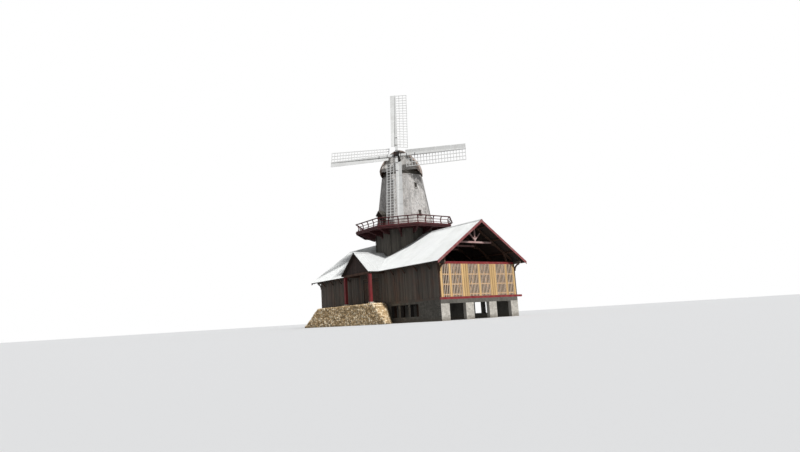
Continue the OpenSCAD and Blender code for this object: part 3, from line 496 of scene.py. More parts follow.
FINISHES: dict[str, Finish | GlassFinish] = {finish.name: finish for finish in (
    CONCRETE,
    # Painted shade: the same cast blocks as the pale concrete, in a darker grey that stands in for the shade on the
    # long plinths and on the gable lintels.
    CONCRETE.like("grey_masonry", (124, 120, 112), (90, 87, 81), (66, 64, 58), stain_size=1.1, stain_amount=0.5,
                  foot=0.5, spread=0.2, bump=0.45, rough=0.92),
    RUBBLE,
    RUBBLE.like("mortar", (150, 133, 109), (100, 87, 70), (98, 100, 70), pores=0.07, stain_size=0.9, stain_amount=0.5,
                foot=0.5, foot_height=0.5, spread=0.18, alt=None, bump=0.8, bump_size=0.03, rough=0.95),
    Finish("grey_boards", (88, 79, 69), (56, 50, 44), (50, 45, 40), stretch=(0.5, 7.0, 7.0), boards=0.22,
           across=(0.0, 1.0, 0.0)),
    WALL_BOARDS,
    # The record gives this slot also to the cap's frame and curb ring; there its dark colour is painted shade under
    # the cap's overhang.
    WALL_BOARDS.like("drum_boards", (112, 107, 99), (72, 69, 64), (128, 120, 110), stain_amount=0.3, spread=0.3),
    # Painted shade: a near-black brown on the long walls' carcass and the vents' linings, standing in for the shade
    # inside the barn and in the vents.
    Finish("shaded_interior_boards", (54, 48, 43), (36, 32, 29), (64, 56, 50), stretch=(0.5, 10.0, 10.0), stain_amount=0.3,
           boards=0.2, bump=0.4),
    DOOR_BOARDS,
    # Painted shade: the porch gable's boards in a near-black brown that stands in for the shade under the porch roof.
    DOOR_BOARDS.like("gable_shade", (50, 35, 30), (32, 23, 20), (60, 44, 38), stain_amount=0.3, bump=0.4),
    RED_PAINT,
    RED_PAINT.like("post_paint", (148, 48, 52), (104, 34, 38), (132, 96, 88), stretch=(3.0, 3.0, 0.8),
                   stain_size=0.6, stain_run=0.4, grain=0.7, rough=0.66),
    RED_PAINT.like("pink_timber", (206, 168, 162), (172, 124, 118), (220, 210, 204), stain_amount=0.5, rough=0.66),
    RED_PAINT.like("verge_paint", (160, 88, 88), (116, 52, 55), (196, 172, 164), stain_amount=0.35, spread=0.16,
                   rough=0.66),
    Finish("brown_timber", (90, 64, 50), (56, 41, 34), (92, 78, 66), stretch=(2.5, 2.5, 2.5), stain_amount=0.3,
           bump=0.3),
    PALE_SLATS,
    PALE_SLATS.like("thin_slats", (248, 226, 204), (220, 188, 160), (184, 160, 138), stretch=(12.0, 12.0, 0.6),
                    bump=0.3),
    Finish("roof_metal", (238, 239, 237), (226, 228, 227), (204, 203, 197), stretch=(1.2, 1.2, 1.2), stain_size=1.8,
           stain_run=0.5, stain_amount=0.25, spread=0.03, grain=0.4, bump=0.08, bump_size=0.004, rough=0.5,
           rough_swing=0.12),
    # Painted shade: the undersides of both roofs take a brown darkened past the boards' own colour, standing in for
    # the shade under the roof.
    Finish("roof_boards", (64, 53, 46), (42, 36, 31), (54, 48, 43), stretch=(0.5, 6.0, 6.0), boards=0.19,
           across=(0.0, 0.84, 0.54), bump=0.5),
    GALLERY_PAINT,
    # Painted shade: a darker copy of the gallery's red for the deck's edge and underside and for the brackets,
    # standing in for the shade under the gallery.
    GALLERY_PAINT.like("gallery_shade_paint", (70, 26, 28), (45, 18, 20), (92, 72, 66), stain_amount=0.25, rough=0.66),
    SHINGLES,
    SHINGLES.like("cap_shingles", (212, 194, 182), (168, 148, 136), (130, 118, 110), stretch=(10.0, 10.0, 3.0),
                  stain_size=0.8, stain_run=0.7, stain_amount=0.5, spread=0.24, alt=(176, 162, 152)),
    Finish("cap_boards", (236, 233, 228), (198, 193, 187), (146, 141, 135), stretch=(11.0, 11.0, 0.6),
           stain_size=0.6, stain_amount=0.45, spread=0.2, bump=0.4),
    GlassFinish("window_glass"),
    Finish("black_iron", (44, 43, 42), (30, 29, 29), (92, 62, 46), stretch=(4.0, 4.0, 4.0), stain_size=0.35,
           stain_run=0.8, stain_amount=0.35, spread=0.1, rough=0.48, rough_swing=0.25, bump=0.2, bump_size=0.006,
           metal=0.75),
    Finish("white_timber", (241, 241, 239), (223, 222, 218), (176, 170, 160), stretch=(4.0, 4.0, 4.0),
           stain_size=0.7, stain_run=0.5, stain_amount=0.25, spread=0.08, bump=0.22, rough=0.55))}


@dataclass
class Mark:
    """One board, shingle, stone or stud: its middle, its two axes and its size."""

    place: Vector
    side: Vector
    up: Vector
    size: Rgb

    def turn(self) -> Quaternion:
        """Gives the turn that lays the piece's width on side and its length on up.

        Returns:
            The turn.
        """
        x = self.side.normalized()
        z = x.cross(self.up).normalized()
        return Matrix((x, z.cross(x), z)).transposed().to_quaternion()


class Profile(Enum):
    """The basic solids that a cladding tree can repeat."""

    BOARD = "board"
    STUD = "stud"
    ROCK = "rock"


@dataclass
class Cladding:
    """A Geometry Nodes tree that sets one small solid on every mark, with a little play in size and lie."""

    profile: Profile = Profile.BOARD
    taper: float = 0.0
    play: float = 0.0
    tilt: float = 0.002
    seed: int = 7

    def lay(self, name: str, marks: Sequence[Mark], material: bpy.types.Material) -> bpy.types.Object:
        """Lays the pieces and turns the result into one plain mesh.

        Args:
            name: Name of the finished piece.
            marks: Where the single pieces go.
            material: Their finish.

        Returns:
            The finished object.
        """
        base = self._points(name + ".marks", marks)
        modifier = base.modifiers.new("cladding", "NODES")
        modifier.node_group = self._tree(name)
        values = {"Taper": self.taper, "Play": self.play, "Tilt": self.tilt, "Seed": self.seed, "Finish": material}
        for socket in modifier.node_group.interface.items_tree:
            if socket.name in values:
                modifier[socket.identifier] = values[socket.name]
        graph = bpy.context.evaluated_depsgraph_get()
        mesh = bpy.data.meshes.new_from_object(base.evaluated_get(graph), depsgraph=graph)
        mesh.name = name
        for extra in ("turn", "size"):
            if extra in mesh.attributes:
                mesh.attributes.remove(mesh.attributes[extra])
        base.modifiers.clear()
        points = base.data
        bpy.data.objects.remove(base)
        bpy.data.meshes.remove(points)
        return in_scene(name, mesh)

    def _points(self, name: str, marks: Sequence[Mark]) -> bpy.types.Object:
        """Makes loose points that carry each piece's turn and size.

        Args:
            name: Name of the object.
            marks: The pieces.

        Returns:
            The object.
        """
        mesh = bpy.data.meshes.new(name)
        mesh.vertices.add(len(marks))
        mesh.vertices.foreach_set("co", np.array([m.place[:] for m in marks], np.float32).ravel())
        for label, kind, key, rows in (("turn", "QUATERNION", "value", [m.turn()[:] for m in marks]),
                                       ("size", "FLOAT_VECTOR", "vector", [m.size for m in marks])):
            made = mesh.attributes.new(label, kind, "POINT")
            made.data.foreach_set(key, np.array(rows, np.float32).ravel())
        mesh.update()
        return in_scene(name, mesh)

    def _tree(self, name: str) -> bpy.types.NodeTree:
        """Builds the tree: one solid, its taper, the play of each copy, real geometry and the finish.

        Args:
            name: Name of the finished piece.

        Returns:
            The tree.
        """
        tree = bpy.data.node_groups.new(name + ".cladding", "GeometryNodeTree")
        for label, kind in (("Geometry", "Geometry"), ("Taper", "Float"), ("Play", "Float"), ("Tilt", "Float"),
                            ("Seed", "Int"), ("Finish", "Material")):
            tree.interface.new_socket(name=label, in_out="INPUT", socket_type="NodeSocket" + kind)
        tree.interface.new_socket(name="Geometry", in_out="OUTPUT", socket_type="NodeSocketGeometry")
        g = Graph(tree)
        i = g.add("NodeGroupInput").outputs
        spot = g.add("ShaderNodeSeparateXYZ", {0: g.add("GeometryNodeInputPosition").outputs[0]}).outputs
        shrink = g.less(1.0, g.times(g.maths("GREATER_THAN", spot[1], 0.0), i["Taper"]))
        z = g.less(g.times(g.plus(spot[2], 0.5), shrink), 0.5)
        place = g.add("ShaderNodeCombineXYZ", {0: spot[0], 1: spot[1], 2: z}).outputs[0]
        shaped = g.add("GeometryNodeSetPosition", {"Geometry": self._solid(g), "Position": place})
        tone = g.add("FunctionNodeRandomValue", {2: -1.0, 3: 1.0, "Seed": i["Seed"]}, data_type="FLOAT")
        toned = g.add("GeometryNodeStoreNamedAttribute",
                      {"Geometry": i["Geometry"], "Name": "tone", "Value": tone.outputs[1]},
                      data_type="FLOAT", domain="POINT")
        sway = g.add("FunctionNodeRandomValue", {0: (-1.0,) * 3, 1: (1.0,) * 3, "Seed": g.plus(i["Seed"], 1)},
                     data_type="FLOAT_VECTOR")
        lie = g.vector("SCALE", sway.outputs[0], i["Tilt"])
        turn = g.add("GeometryNodeInputNamedAttribute", {"Name": "turn"}, data_type="QUATERNION")
        rocked = g.add("FunctionNodeRotateRotation", {"Rotation": turn.outputs[0], "Rotate By": lie.outputs[0]},
                       rotation_space="LOCAL")
        size = g.add("GeometryNodeInputNamedAttribute", {"Name": "size"}, data_type="FLOAT_VECTOR")
        grow = g.add("FunctionNodeRandomValue", {2: -1.0, 3: 0.0, "Seed": g.plus(i["Seed"], 2)}, data_type="FLOAT")
        scale = g.vector("SCALE", size.outputs[0], g.plus(1.0, g.times(grow.outputs[1], i["Play"])))
        copies = g.add("GeometryNodeInstanceOnPoints", {
            "Points": toned.outputs[0], "Instance": shaped.outputs[0], "Rotation": rocked.outputs[0],
            "Scale": scale.outputs[0]})
        real = g.add("GeometryNodeRealizeInstances", {"Geometry": copies.outputs[0]})
        done = g.add("GeometryNodeSetMaterial", {"Geometry": real.outputs[0], "Material": i["Finish"]})
        g.add("NodeGroupOutput", {0: done.outputs[0]})
        return tree

    def _solid(self, g: Graph) -> Socket:
        """Adds the small solid that is repeated, one metre across.

        Args:
            g: The tree's graph.

        Returns:
            The solid.
        """
        if self.profile is Profile.BOARD:
            return g.add("GeometryNodeMeshCube", {"Size": (1.0, 1.0, 1.0)}).outputs[0]
        if self.profile is Profile.STUD:
            return g.add("GeometryNodeMeshCylinder", {"Vertices": 6, "Radius": 0.5, "Depth": 1.0}).outputs[0]
        ball = g.add("GeometryNodeMeshIcoSphere", {"Radius": 0.5, "Subdivisions": 2})
        spot = g.add("GeometryNodeInputPosition").outputs[0]
        lumps = g.add("ShaderNodeTexNoise", {"Vector": spot, "Scale": 2.6, "Detail": 1.0}).outputs["Color"]
        push = g.vector("SCALE", g.vector("SUBTRACT", lumps, (0.5, 0.5, 0.5)).outputs[0], 0.45)
        return g.add("GeometryNodeSetPosition", {"Geometry": ball.outputs[0], "Offset": push.outputs[0]}).outputs[0]


@dataclass
class Face:
    """A flat face to be clad, with courses that run along u and climb along v."""

    origin: Vector
    u: Vector
    v: Vector

    @property
    def out(self) -> Vector:
        """The direction away from the face."""
        return self.u.cross(self.v).normalized()

    def at(self, u: float, v: float, lift: float = 0.0) -> Vector:
        """Gives the point at u and v, lifted off the face."""
        return self.origin + self.u * u + self.v * v + self.out * lift

    def shingles(self, rows: int, step: float, width: float, thick: float,
                 spans: Callable[[float], Iterable[Span]], rng: random.Random, first: float) -> list[Mark]:
        """Lays courses of shingles, each lapping the one below.

        Args:
            rows: Number of courses.
            step: Height of a course that shows.
            width: Width of a shingle.
            thick: Thickness at the lower edge.
            spans: Gives the stretches of u to be covered at a height v.
            rng: Random numbers with a fixed seed.
            first: Height of the lowest edge.

        Returns:
            The marks of all shingles.
        """
        marks: list[Mark] = []
        lean = math.atan(thick / step) * 0.75
        up = (self.v * math.cos(lean) - self.out * math.sin(lean)).normalized()
        length, lift = step * 1.9, 0.004 + thick / 2
        for row in range(rows):
            v = first + row * step
            for a, b in spans(v + step / 2):
                if b - a < 0.03:
                    continue
                u = a - rng.random() * width * 0.9
                while u < b:
                    w = width * rng.uniform(0.72, 1.15)
                    lo, hi = max(a, u), min(b, u + w)
                    if hi - lo > 0.025:
                        middle = self.at((lo + hi) / 2, v + length / 2 * math.cos(lean), lift)
                        marks.append(Mark(middle, self.u, up, (hi - lo - 0.004, length, thick)))
                    u += w
        return marks

    def boards(self, a: float, b: float, width: float, thick: float,
               spans: Callable[[float, float], Iterable[Span]], rng: random.Random, gap: float = 0.005,
               lift: float = 0.0) -> list[Mark]:
        """Lays upright boards side by side.

        Args:
            a: Where the first board starts along u.
            b: Where the last one ends.
            width: Width of a board.
            thick: Thickness of a board.
            spans: Gives the stretches of v covered by a board between two values of u.
            rng: Random numbers with a fixed seed.
            gap: Open joint between boards.
            lift: Distance of the boards' backs from the face.

        Returns:
            The marks of all boards.
        """
        count = max(1, round((b - a) / width))
        edges = [a + (b - a) * k / count for k in range(count + 1)]
        for k in range(1, count):
            edges[k] += rng.uniform(-0.12, 0.12) * width
        return [Mark(self.at((lo + hi) / 2, (low + high) / 2, lift + thick / 2), self.u, self.v,
                     (hi - lo - gap, high - low, thick))
                for lo, hi in pairwise(edges) for low, high in spans(lo, hi) if high - low > 0.04]


@dataclass
class Bench:
    """Collects squared timbers and cut plates into one mesh with eased edges."""

    name: str
    ease: float = 0.008
    points: list[Vector] = field(default_factory=list)
    owners: list[int] = field(default_factory=list)
    faces: list[tuple[int, ...]] = field(default_factory=list)

    def _add(self, points: list[Vector], faces: Iterable[tuple[int, ...]]) -> None:
        """Adds one solid.

        Args:
            points: Its points.
            faces: The numbers of the points of each face, counted within the solid.
        """
        n = len(self.points)
        self.points += points
        self.owners += [n] * len(points)
        self.faces += [tuple(n + q for q in f) for f in faces]

    def beam(self, place: Vector, x: Vector, y: Vector, z: Vector) -> None:
        """Adds a timber from its middle and its three half axes, which make a right-handed set."""
        self._add([place + x * i + y * j + z * k for k in BOTH for j, i in ((-1, -1), (-1, 1), (1, 1), (1, -1))],
                  ((3, 2, 1, 0), (4, 5, 6, 7), (0, 1, 5, 4), (1, 2, 6, 5), (2, 3, 7, 6), (3, 0, 4, 7)))

    def block(self, low: Sequence[float], high: Sequence[float]) -> None:
        """Adds a timber that lies square to the frame.

        Args:
            low: One corner.
            high: The corner across from it.
        """
        lo, hi = (Vector([pick(pair) for pair in zip(low, high)]) for pick in (min, max))
        h = (hi - lo) / 2
        self.beam((lo + hi) / 2, X * h.x, Y * h.y, Z * h.z)

    def bar(self, a: Vector, b: Vector, width: float, depth: float, out: Vector) -> None:
        """Adds a bar between two points.

        Args:
            a: One end.
            b: The other end.
            width: Width across the bar.
            depth: Depth along out.
            out: The direction that the bar's face looks.
        """
        along = (b - a).normalized()
        side = along.cross(out).normalized()
        face = side.cross(along).normalized()
        turn = -1 if side.cross(face).dot(along) < 0 else 1
        self.beam((a + b) / 2, side * width / 2, face * depth / 2, along * (b - a).length / 2 * turn)

    def on(self, face: Face, a: Span, b: Span, lift: float, width: float, depth: float) -> None:
        """Adds a bar that lies on a face.

        Args:
            face: The face.
            a: One end as its places along u and v.
            b: The other end.
            lift: Distance of the bar's middle from the face.
            width: Width across the bar.
            depth: Depth away from the face.
        """
        self.bar(face.at(*a, lift), face.at(*b, lift), width, depth, face.out)

    def plate(self, outline: Sequence[Vector], depth: Vector) -> None:
        """Adds a flat plate.

        Args:
            outline: Corners that run anticlockwise seen from the side that depth points to.
            depth: Thickness as a vector.
        """
        m = len(outline)
        sides = [(k, (k + 1) % m, m + (k + 1) % m, m + k) for k in range(m)]
        self._add([*outline, *(p + depth for p in outline)], [(*range(m - 1, -1, -1),), (*range(m, 2 * m),), *sides])

    def finish(self, material: bpy.types.Material, seed: int) -> bpy.types.Object:
        """Makes the object, gives each timber its own tone and eases the edges.

        Args:
            material: The finish.
            seed: Seed of the tones.

        Returns:
            The object.
        """
        rng = random.Random(seed)
        shades: dict[int, float] = {}
        tones = [shades.setdefault(owner, rng.uniform(-1, 1)) for owner in self.owners]
        piece = toned_piece(self.name, self.points, self.faces, tones, material)
        if self.ease:
            bevel = piece.modifiers.new("eased edges", "BEVEL")
            bevel.width = self.ease
            bevel.segments = 1
            bevel.limit_method = "ANGLE"
        return piece


class Yard:
    """Keeps the finishes and hands finished pieces to the frame."""

    def __init__(self) -> None:
        """Builds the shared groups and every finish."""
        kit = EffectKit()
        self.finishes = {name: finish.make(kit) for name, finish in FINISHES.items()}
        self.made = 0

    def hand_over(self, piece: bpy.types.Object, body: Body, slot: str) -> None:
        """Lets a finished piece ride on its body and reports it.

        Args:
            piece: The finished piece.
            body: The body that it moves with.
            slot: The record's material slot that it stands in. Not used.
        """
        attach(piece, body.value)
        self.made += 1
        log.info("%s: %d faces on %s", piece.name, len(piece.data.polygons), body.value)

    def clad(self, name: str, marks: Sequence[Mark], finish: str, seed: int, slot: str = "",
             body: Body = Body.BUILDING, **make: object) -> None:
        """Lays one set of small solids and hands it over.

        Args:
            name: Name of the piece.
            marks: Where the solids go.
            finish: Their finish.
            seed: Seed of their play.
            slot: The record's slot, where it isn't named as the finish is.
            body: The body that they move with.
            **make: Other values of the cladding.
        """
        self.hand_over(Cladding(seed=seed, **make).lay(name, marks, self.finishes[finish]), body, slot or finish)

    def fit(self, bench: Bench, finish: str, seed: int, slot: str = "", body: Body = Body.BUILDING) -> None:
        """Finishes a bench's timbers and hands them over as one piece.

        Args:
            bench: The timbers.
            finish: Their finish.
            seed: Seed of their tones.
            slot: The record's slot, where it isn't named as the finish is.
            body: The body that they move with.
        """
        self.hand_over(bench.finish(self.finishes[finish], seed), body, slot or finish)

    def dress_frame(self) -> None:
        """Gives each carried-over part of the frame its finish, which a few parts take from another slot's."""
        slots = {row["node"]: row["material_slot"] for row in frame["record"]["subparts"]}
        # The roofs' undersides, the long walls' carcass, the gallery's deck and brackets and the porch gable take
        # finishes darkened as painted shade.
        other = {"main_roof": "roof_boards", "porch_roof": "roof_boards", "stone_bank": "mortar",
                 "cap_front_boards": "cap_boards", "verge_boards": "verge_paint", "gallery_deck": "gallery_shade_paint",
                 "gallery_brackets": "gallery_shade_paint", "long_walls": "shaded_interior_boards", "porch_gable": "gable_shade",
                 "porch_posts": "post_paint"}
        for name, node in frame["nodes"].items():
            material = self.finishes[other.get(name, slots[name])]
            if not node.material_slots:
                node.data.materials.append(material)
            for place in node.material_slots:
                place.material = material
        log.info("%d parts of the frame dressed", len(frame["nodes"]))


Reach = Callable[[float], Span]
Cover = tuple[Face, Span, Reach]


@dataclass
class Sheeting:
    """Profiled metal sheets with ribs down the slope and edges cut to the roof's own outline."""

    rib_step: float = 0.2
    rib_height: float = 0.034
    ribs: int = 5
    metal: float = 0.003
    lap_at: float = 4.3
    lap: float = 0.08
    section: tuple[Span, ...] = ((0.0, 0.0), (0.34, 0.0), (0.43, 1.0), (0.6, 1.0), (0.69, 0.0))

    def sheets(self, a: float, b: float) -> list[Span]:
        """Divides the stretch a to b into sheets of whole ribs."""
        count = max(1, round((b - a) / (self.rib_step * self.ribs)))
        return [(a + (b - a) * k / count, a + (b - a) * (k + 1) / count) for k in range(count)]

    def lay(self, name: str, covers: Sequence[Cover], material: bpy.types.Material, seed: int) -> bpy.types.Object:
        """Lays the sheets of several faces into one mesh.

        Args:
            name: Name of the piece.
            covers: Each face with its stretch of u and the stretch of v that is covered at a given u.
            material: The finish.
            seed: Seed of the sheets' tones.

        Returns:
            The finished object.
        """
        points: list[Vector] = []
        quads: list[tuple[int, ...]] = []
        tones: list[float] = []
        rng = random.Random(seed)
        for face, stretch, reach in covers:
            for (lo, hi), upper in product(self.sheets(*stretch), (False, True)):
                start = len(points)
                self._sheet(face, lo, hi, reach, upper, points, quads)
                tones += [rng.uniform(-1, 1)] * (len(points) - start)
        return toned_piece(name, points, quads, tones, material)

    def _sheet(self, face: Face, lo: float, hi: float, reach: Reach, upper: bool, points: list[Vector],
               quads: list[tuple[int, ...]]) -> None:
        """Adds the lower or the upper sheet of one strip.

        Args:
            face: The face that it lies on.
            lo: Where the strip starts along u.
            hi: Where it ends.
            reach: Gives the stretch of v that is covered at a given u.
            upper: Whether it is the upper sheet, which laps the lower one.
            points: The points so far.
            quads: The faces so far.
        """
        step, inset = (hi - lo) / self.ribs, 1e-4
        line = [(lo + (k + f) * step, h) for k in range(self.ribs) for f, h in self.section] + [(hi, 0.0)]
        lift = 0.002 + upper * (self.metal + 0.002)
        ends = []
        for u, _ in line:
            low, high = reach(min(max(u, lo + inset), hi - inset))
            ends.append((max(low, self.lap_at - self.lap), high) if upper else (low, min(high, self.lap_at)))
        if max(high - low for low, high in ends) < 0.05:
            return
        n = len(points)
        for (u, h), (low, high) in zip(line, ends):
            for v in (low, max(high, low + 0.012)):
                points += [face.at(u, v, lift), face.at(u, v, lift + self.metal + h * self.rib_height)]
        z = n + 4 * (len(line) - 1)
        for a in range(n, z, 4):
            b = a + 4
            quads += [(a + 1, b + 1, b + 3, a + 3), (a, a + 2, b + 2, b), (a, b, b + 1, a + 1),
                      (a + 2, a + 3, b + 3, b + 2)]
        quads += [(n, n + 1, n + 3, n + 2), (z, z + 2, z + 3, z + 1)]


@dataclass
class Assembly:
    """A sub-assembly, which hands its pieces over through the yard."""

    yard: Yard


MAIN_SHEETS = Sheeting()
PORCH_SHEETS = Sheeting(rib_step=0.26, rib_height=0.042, ribs=4, lap_at=9.0)


@dataclass
class BarnRoof(Assembly):
    """Metal sheets, ridge caps, skirting, rafter tails and eave knees of the barn's roof and of the porch."""

    ridge: float = 11.2
    eave: float = 6.42
    half: float = 6.95
    end: float = 14.6
    drum: float = 3.788
    porch_ridge: float = 9.08
    porch_half: float = 3.25
    porch_front: float = 8.45
    over: float = 0.04
    verge: float = 0.03
    clear: float = 0.01
    lap: float = 0.02
    leaf: float = 0.003
    upstand: float = 0.13
    valley: float = 0.593
    tails: int = 31
    screw_step: float = 1.05

    @property
    def slope(self) -> float:
        """Fall of the main roof for each metre out."""
        return (self.ridge - self.eave) / self.half

    @property
    def porch_slope(self) -> float:
        """Fall of the porch roof for each metre out."""
        return (self.porch_ridge - self.eave) / self.porch_half

    def roof_at(self, y: float) -> float:
        """Height of the main roof's top at y."""
        return self.ridge - self.slope * abs(y)

    def top_at(self, x: float, y: float) -> float:
        """Height of the main roof or the porch roof at a point, whichever is higher."""
        z = self.roof_at(y)
        return max(z, self.porch_ridge - self.porch_slope * abs(x)) if y < 0 else z

    def build(self) -> None:
        """Makes every piece of the two roofs."""
        for name, kit, covers, seed in (("roof_sheets_front", MAIN_SHEETS, self._slope(-1), 19),
                                        ("roof_sheets_back", MAIN_SHEETS, self._slope(1), 21),
                                        ("porch_sheets", PORCH_SHEETS, self._porch(-1) + self._porch(1), 33)):
            piece = kit.lay(name, covers, self.yard.finishes["roof_metal"], seed)
            self.yard.hand_over(piece, Body.BUILDING, "roof_metal")
        self._ridges()
        self._screws()
        self._skirting()
        self._tails()
        self._knees()

    def _slope(self, side: int) -> list[Cover]:
        """Gives the faces of one main slope.

        Args:
            side: -1 for the porch side, 1 for the other one.

        Returns:
            The faces with their stretches and reaches.
        """
        face = Face(Y * side * self.half + Z * self.eave, X * -side, -fall(Y * side, self.slope)[0])
        drum, end = self.drum + self.clear, self.end + self.verge
        return [(face, stretch, lambda u: self._slope_reach(side, abs(u)))
                for stretch in pairwise((-end, -drum, 0.0, drum, end))]

    def _slope_reach(self, side: int, d: float) -> Span:
        """Gives the stretch from the eave, or the porch's valley, up to the drum or the ridge.

        Args:
            side: -1 for the porch side, 1 for the other one.
            d: Distance from the middle along the ridge.

        Returns:
            Where the sheets start and end, measured up the slope from the eave.
        """
        drum, cos = self.drum + self.clear, math.cos(math.atan(self.slope))
        near = min(drum, drum * math.sqrt(2) - d) if d < drum else 0.0
        far = self.half + self.over
        if side < 0:
            far = min(far, (self.ridge - self.porch_ridge + self.porch_slope * d) / self.slope + self.lap)
        return (self.half - far) / cos, (self.half - near) / cos

    def _porch(self, side: int) -> list[Cover]:
        """Gives the faces of one side of the porch roof.

        Args:
            side: -1 for the left one, 1 for the right one.

        Returns:
            The faces with their stretches and reaches.
        """
        pitch = math.atan(self.porch_slope)
        face = Face(X * side * self.porch_half + Z * self.eave, Y * side, -fall(X * side, self.porch_slope)[0])

        def reach(u: float) -> Span:
            """Runs from the eave or the valley up to the ridge."""
            low = (self.roof_at(u) - self.eave) / math.sin(pitch) - self.lap
            return max(-self.over, low), self.porch_half / math.cos(pitch)

        stops = (self.drum + self.clear, self.half, self.porch_front + self.verge)
        return [(face, tuple(sorted((-side * a, -side * b))), reach) for a, b in pairwise(stops)]

    def _ridges(self) -> None:
        """Makes the folded caps over the ridges."""
        bench = Bench("ridge_caps", 0.0)
        near, parts, lap, lift, below, half = self.drum + self.verge, 5, 0.03, 0.046, 0.11, 0.125
        for side in BOTH:
            down, out = fall(Y * side, self.slope)
            for a, b in ((-self.end - self.verge, -near), (near, self.end + self.verge)):
                for part in range(parts):
                    over = lift + part % 2 * self.leaf * 2
                    middle = Vector((a + (b - a) * (part + 0.5) / parts, 0, self.ridge + 0.012))
                    bench.beam(middle + down * below + out * over, X * -side * ((b - a) / parts / 2 + lap),
                               -down * half, out * self.leaf)
            down, out = fall(X * side, self.porch_slope)
            far = self.porch_front + self.verge
            middle = Vector((0, -(far + near) / 2, self.porch_ridge + 0.01)) + down * 0.1 + out * lift
            bench.beam(middle, -down * 0.11, Y * side * (far - near) / 2, out * self.leaf)
        self.yard.fit(bench, "roof_metal", 5)

    def _screws(self) -> None:
        """Sets rows of screw caps on every other rib."""
        kits = [(kit, cover) for side in BOTH
                for kit, covers in ((MAIN_SHEETS, self._slope(side)), (PORCH_SHEETS, self._porch(side)))
                for cover in covers]
        marks, margin, rib_middle, head = [], 0.15, 0.515, (0.022, 0.022, 0.01)
        for kit, (face, stretch, reach) in kits:
            for (lo, hi), k in product(kit.sheets(*stretch), range(0, kit.ribs, 2)):
                u = lo + (k + rib_middle) * (hi - lo) / kit.ribs
                low, high = reach(u)
                for v in np.arange(low + margin, high - margin, self.screw_step).tolist():
                    marks.append(Mark(face.at(u, v, kit.rib_height + 0.012), face.u, face.v, head))
        self.yard.clad("roof_screws", marks, "roof_metal", 36, tilt=0.0, profile=Profile.STUD)

    def _skirting(self) -> None:
        """Makes the boards round the drum's foot, cut to both roofs."""
        bench = Bench("drum_skirting", 0.004)
        half, proud, width, thick = self.drum * HALF_SIDE + 0.02, 0.034, 0.17, 0.022
        for k in range(8):
            out, side = ways(45 * k)
            stops = (-half, -self.valley, 0.0, self.valley, half) if k == 6 else (-half, 0.0, half)
            spots = [out * (self.drum + proud) + side * t for t in stops]
            for a, b in pairwise([p + Z * (self.top_at(p.x, p.y) + self.upstand) for p in spots]):
                bench.bar(a, b, width, thick, out)
        self.yard.fit(bench, "drum_boards", 35)

    def _tails(self) -> None:
        """Makes the rafter tails that show under both eaves."""
        marks, size, up_roof, under = [], (0.1, 1.1, 0.13), 0.62, 0.18
        for side in BOTH:
            down, out = fall(Y * side, self.slope)
            for x in np.linspace(0.5 - self.end, self.end - 0.5, self.tails).tolist():
                if side > 0 or abs(x) >= self.porch_half + 0.1:
                    foot = Vector((x, side * self.half, self.eave))
                    marks.append(Mark(foot - down * up_roof - out * under, X, -down, size))
        self.yard.clad("rafter_tails", marks, "brown_timber", 41, tilt=0.0)

    def _knees(self) -> None:
        """Makes the small slanting knees from the long walls up to the rafter tails."""
        bench = Bench("eave_knees", 0.006)
        for side, x in product(BOTH, (-12.1, -9.75, -7.4, -5.1, 5.1, 7.4, 9.75, 12.1)):
            foot, head = Vector((x, side * 6.07, 5.72)), Vector((x, side * 6.6, 6.4))
            bench.bar(foot, head, 0.11, 0.1, Vector((0, side, -0.8)))
        self.yard.fit(bench, "brown_timber", 42)


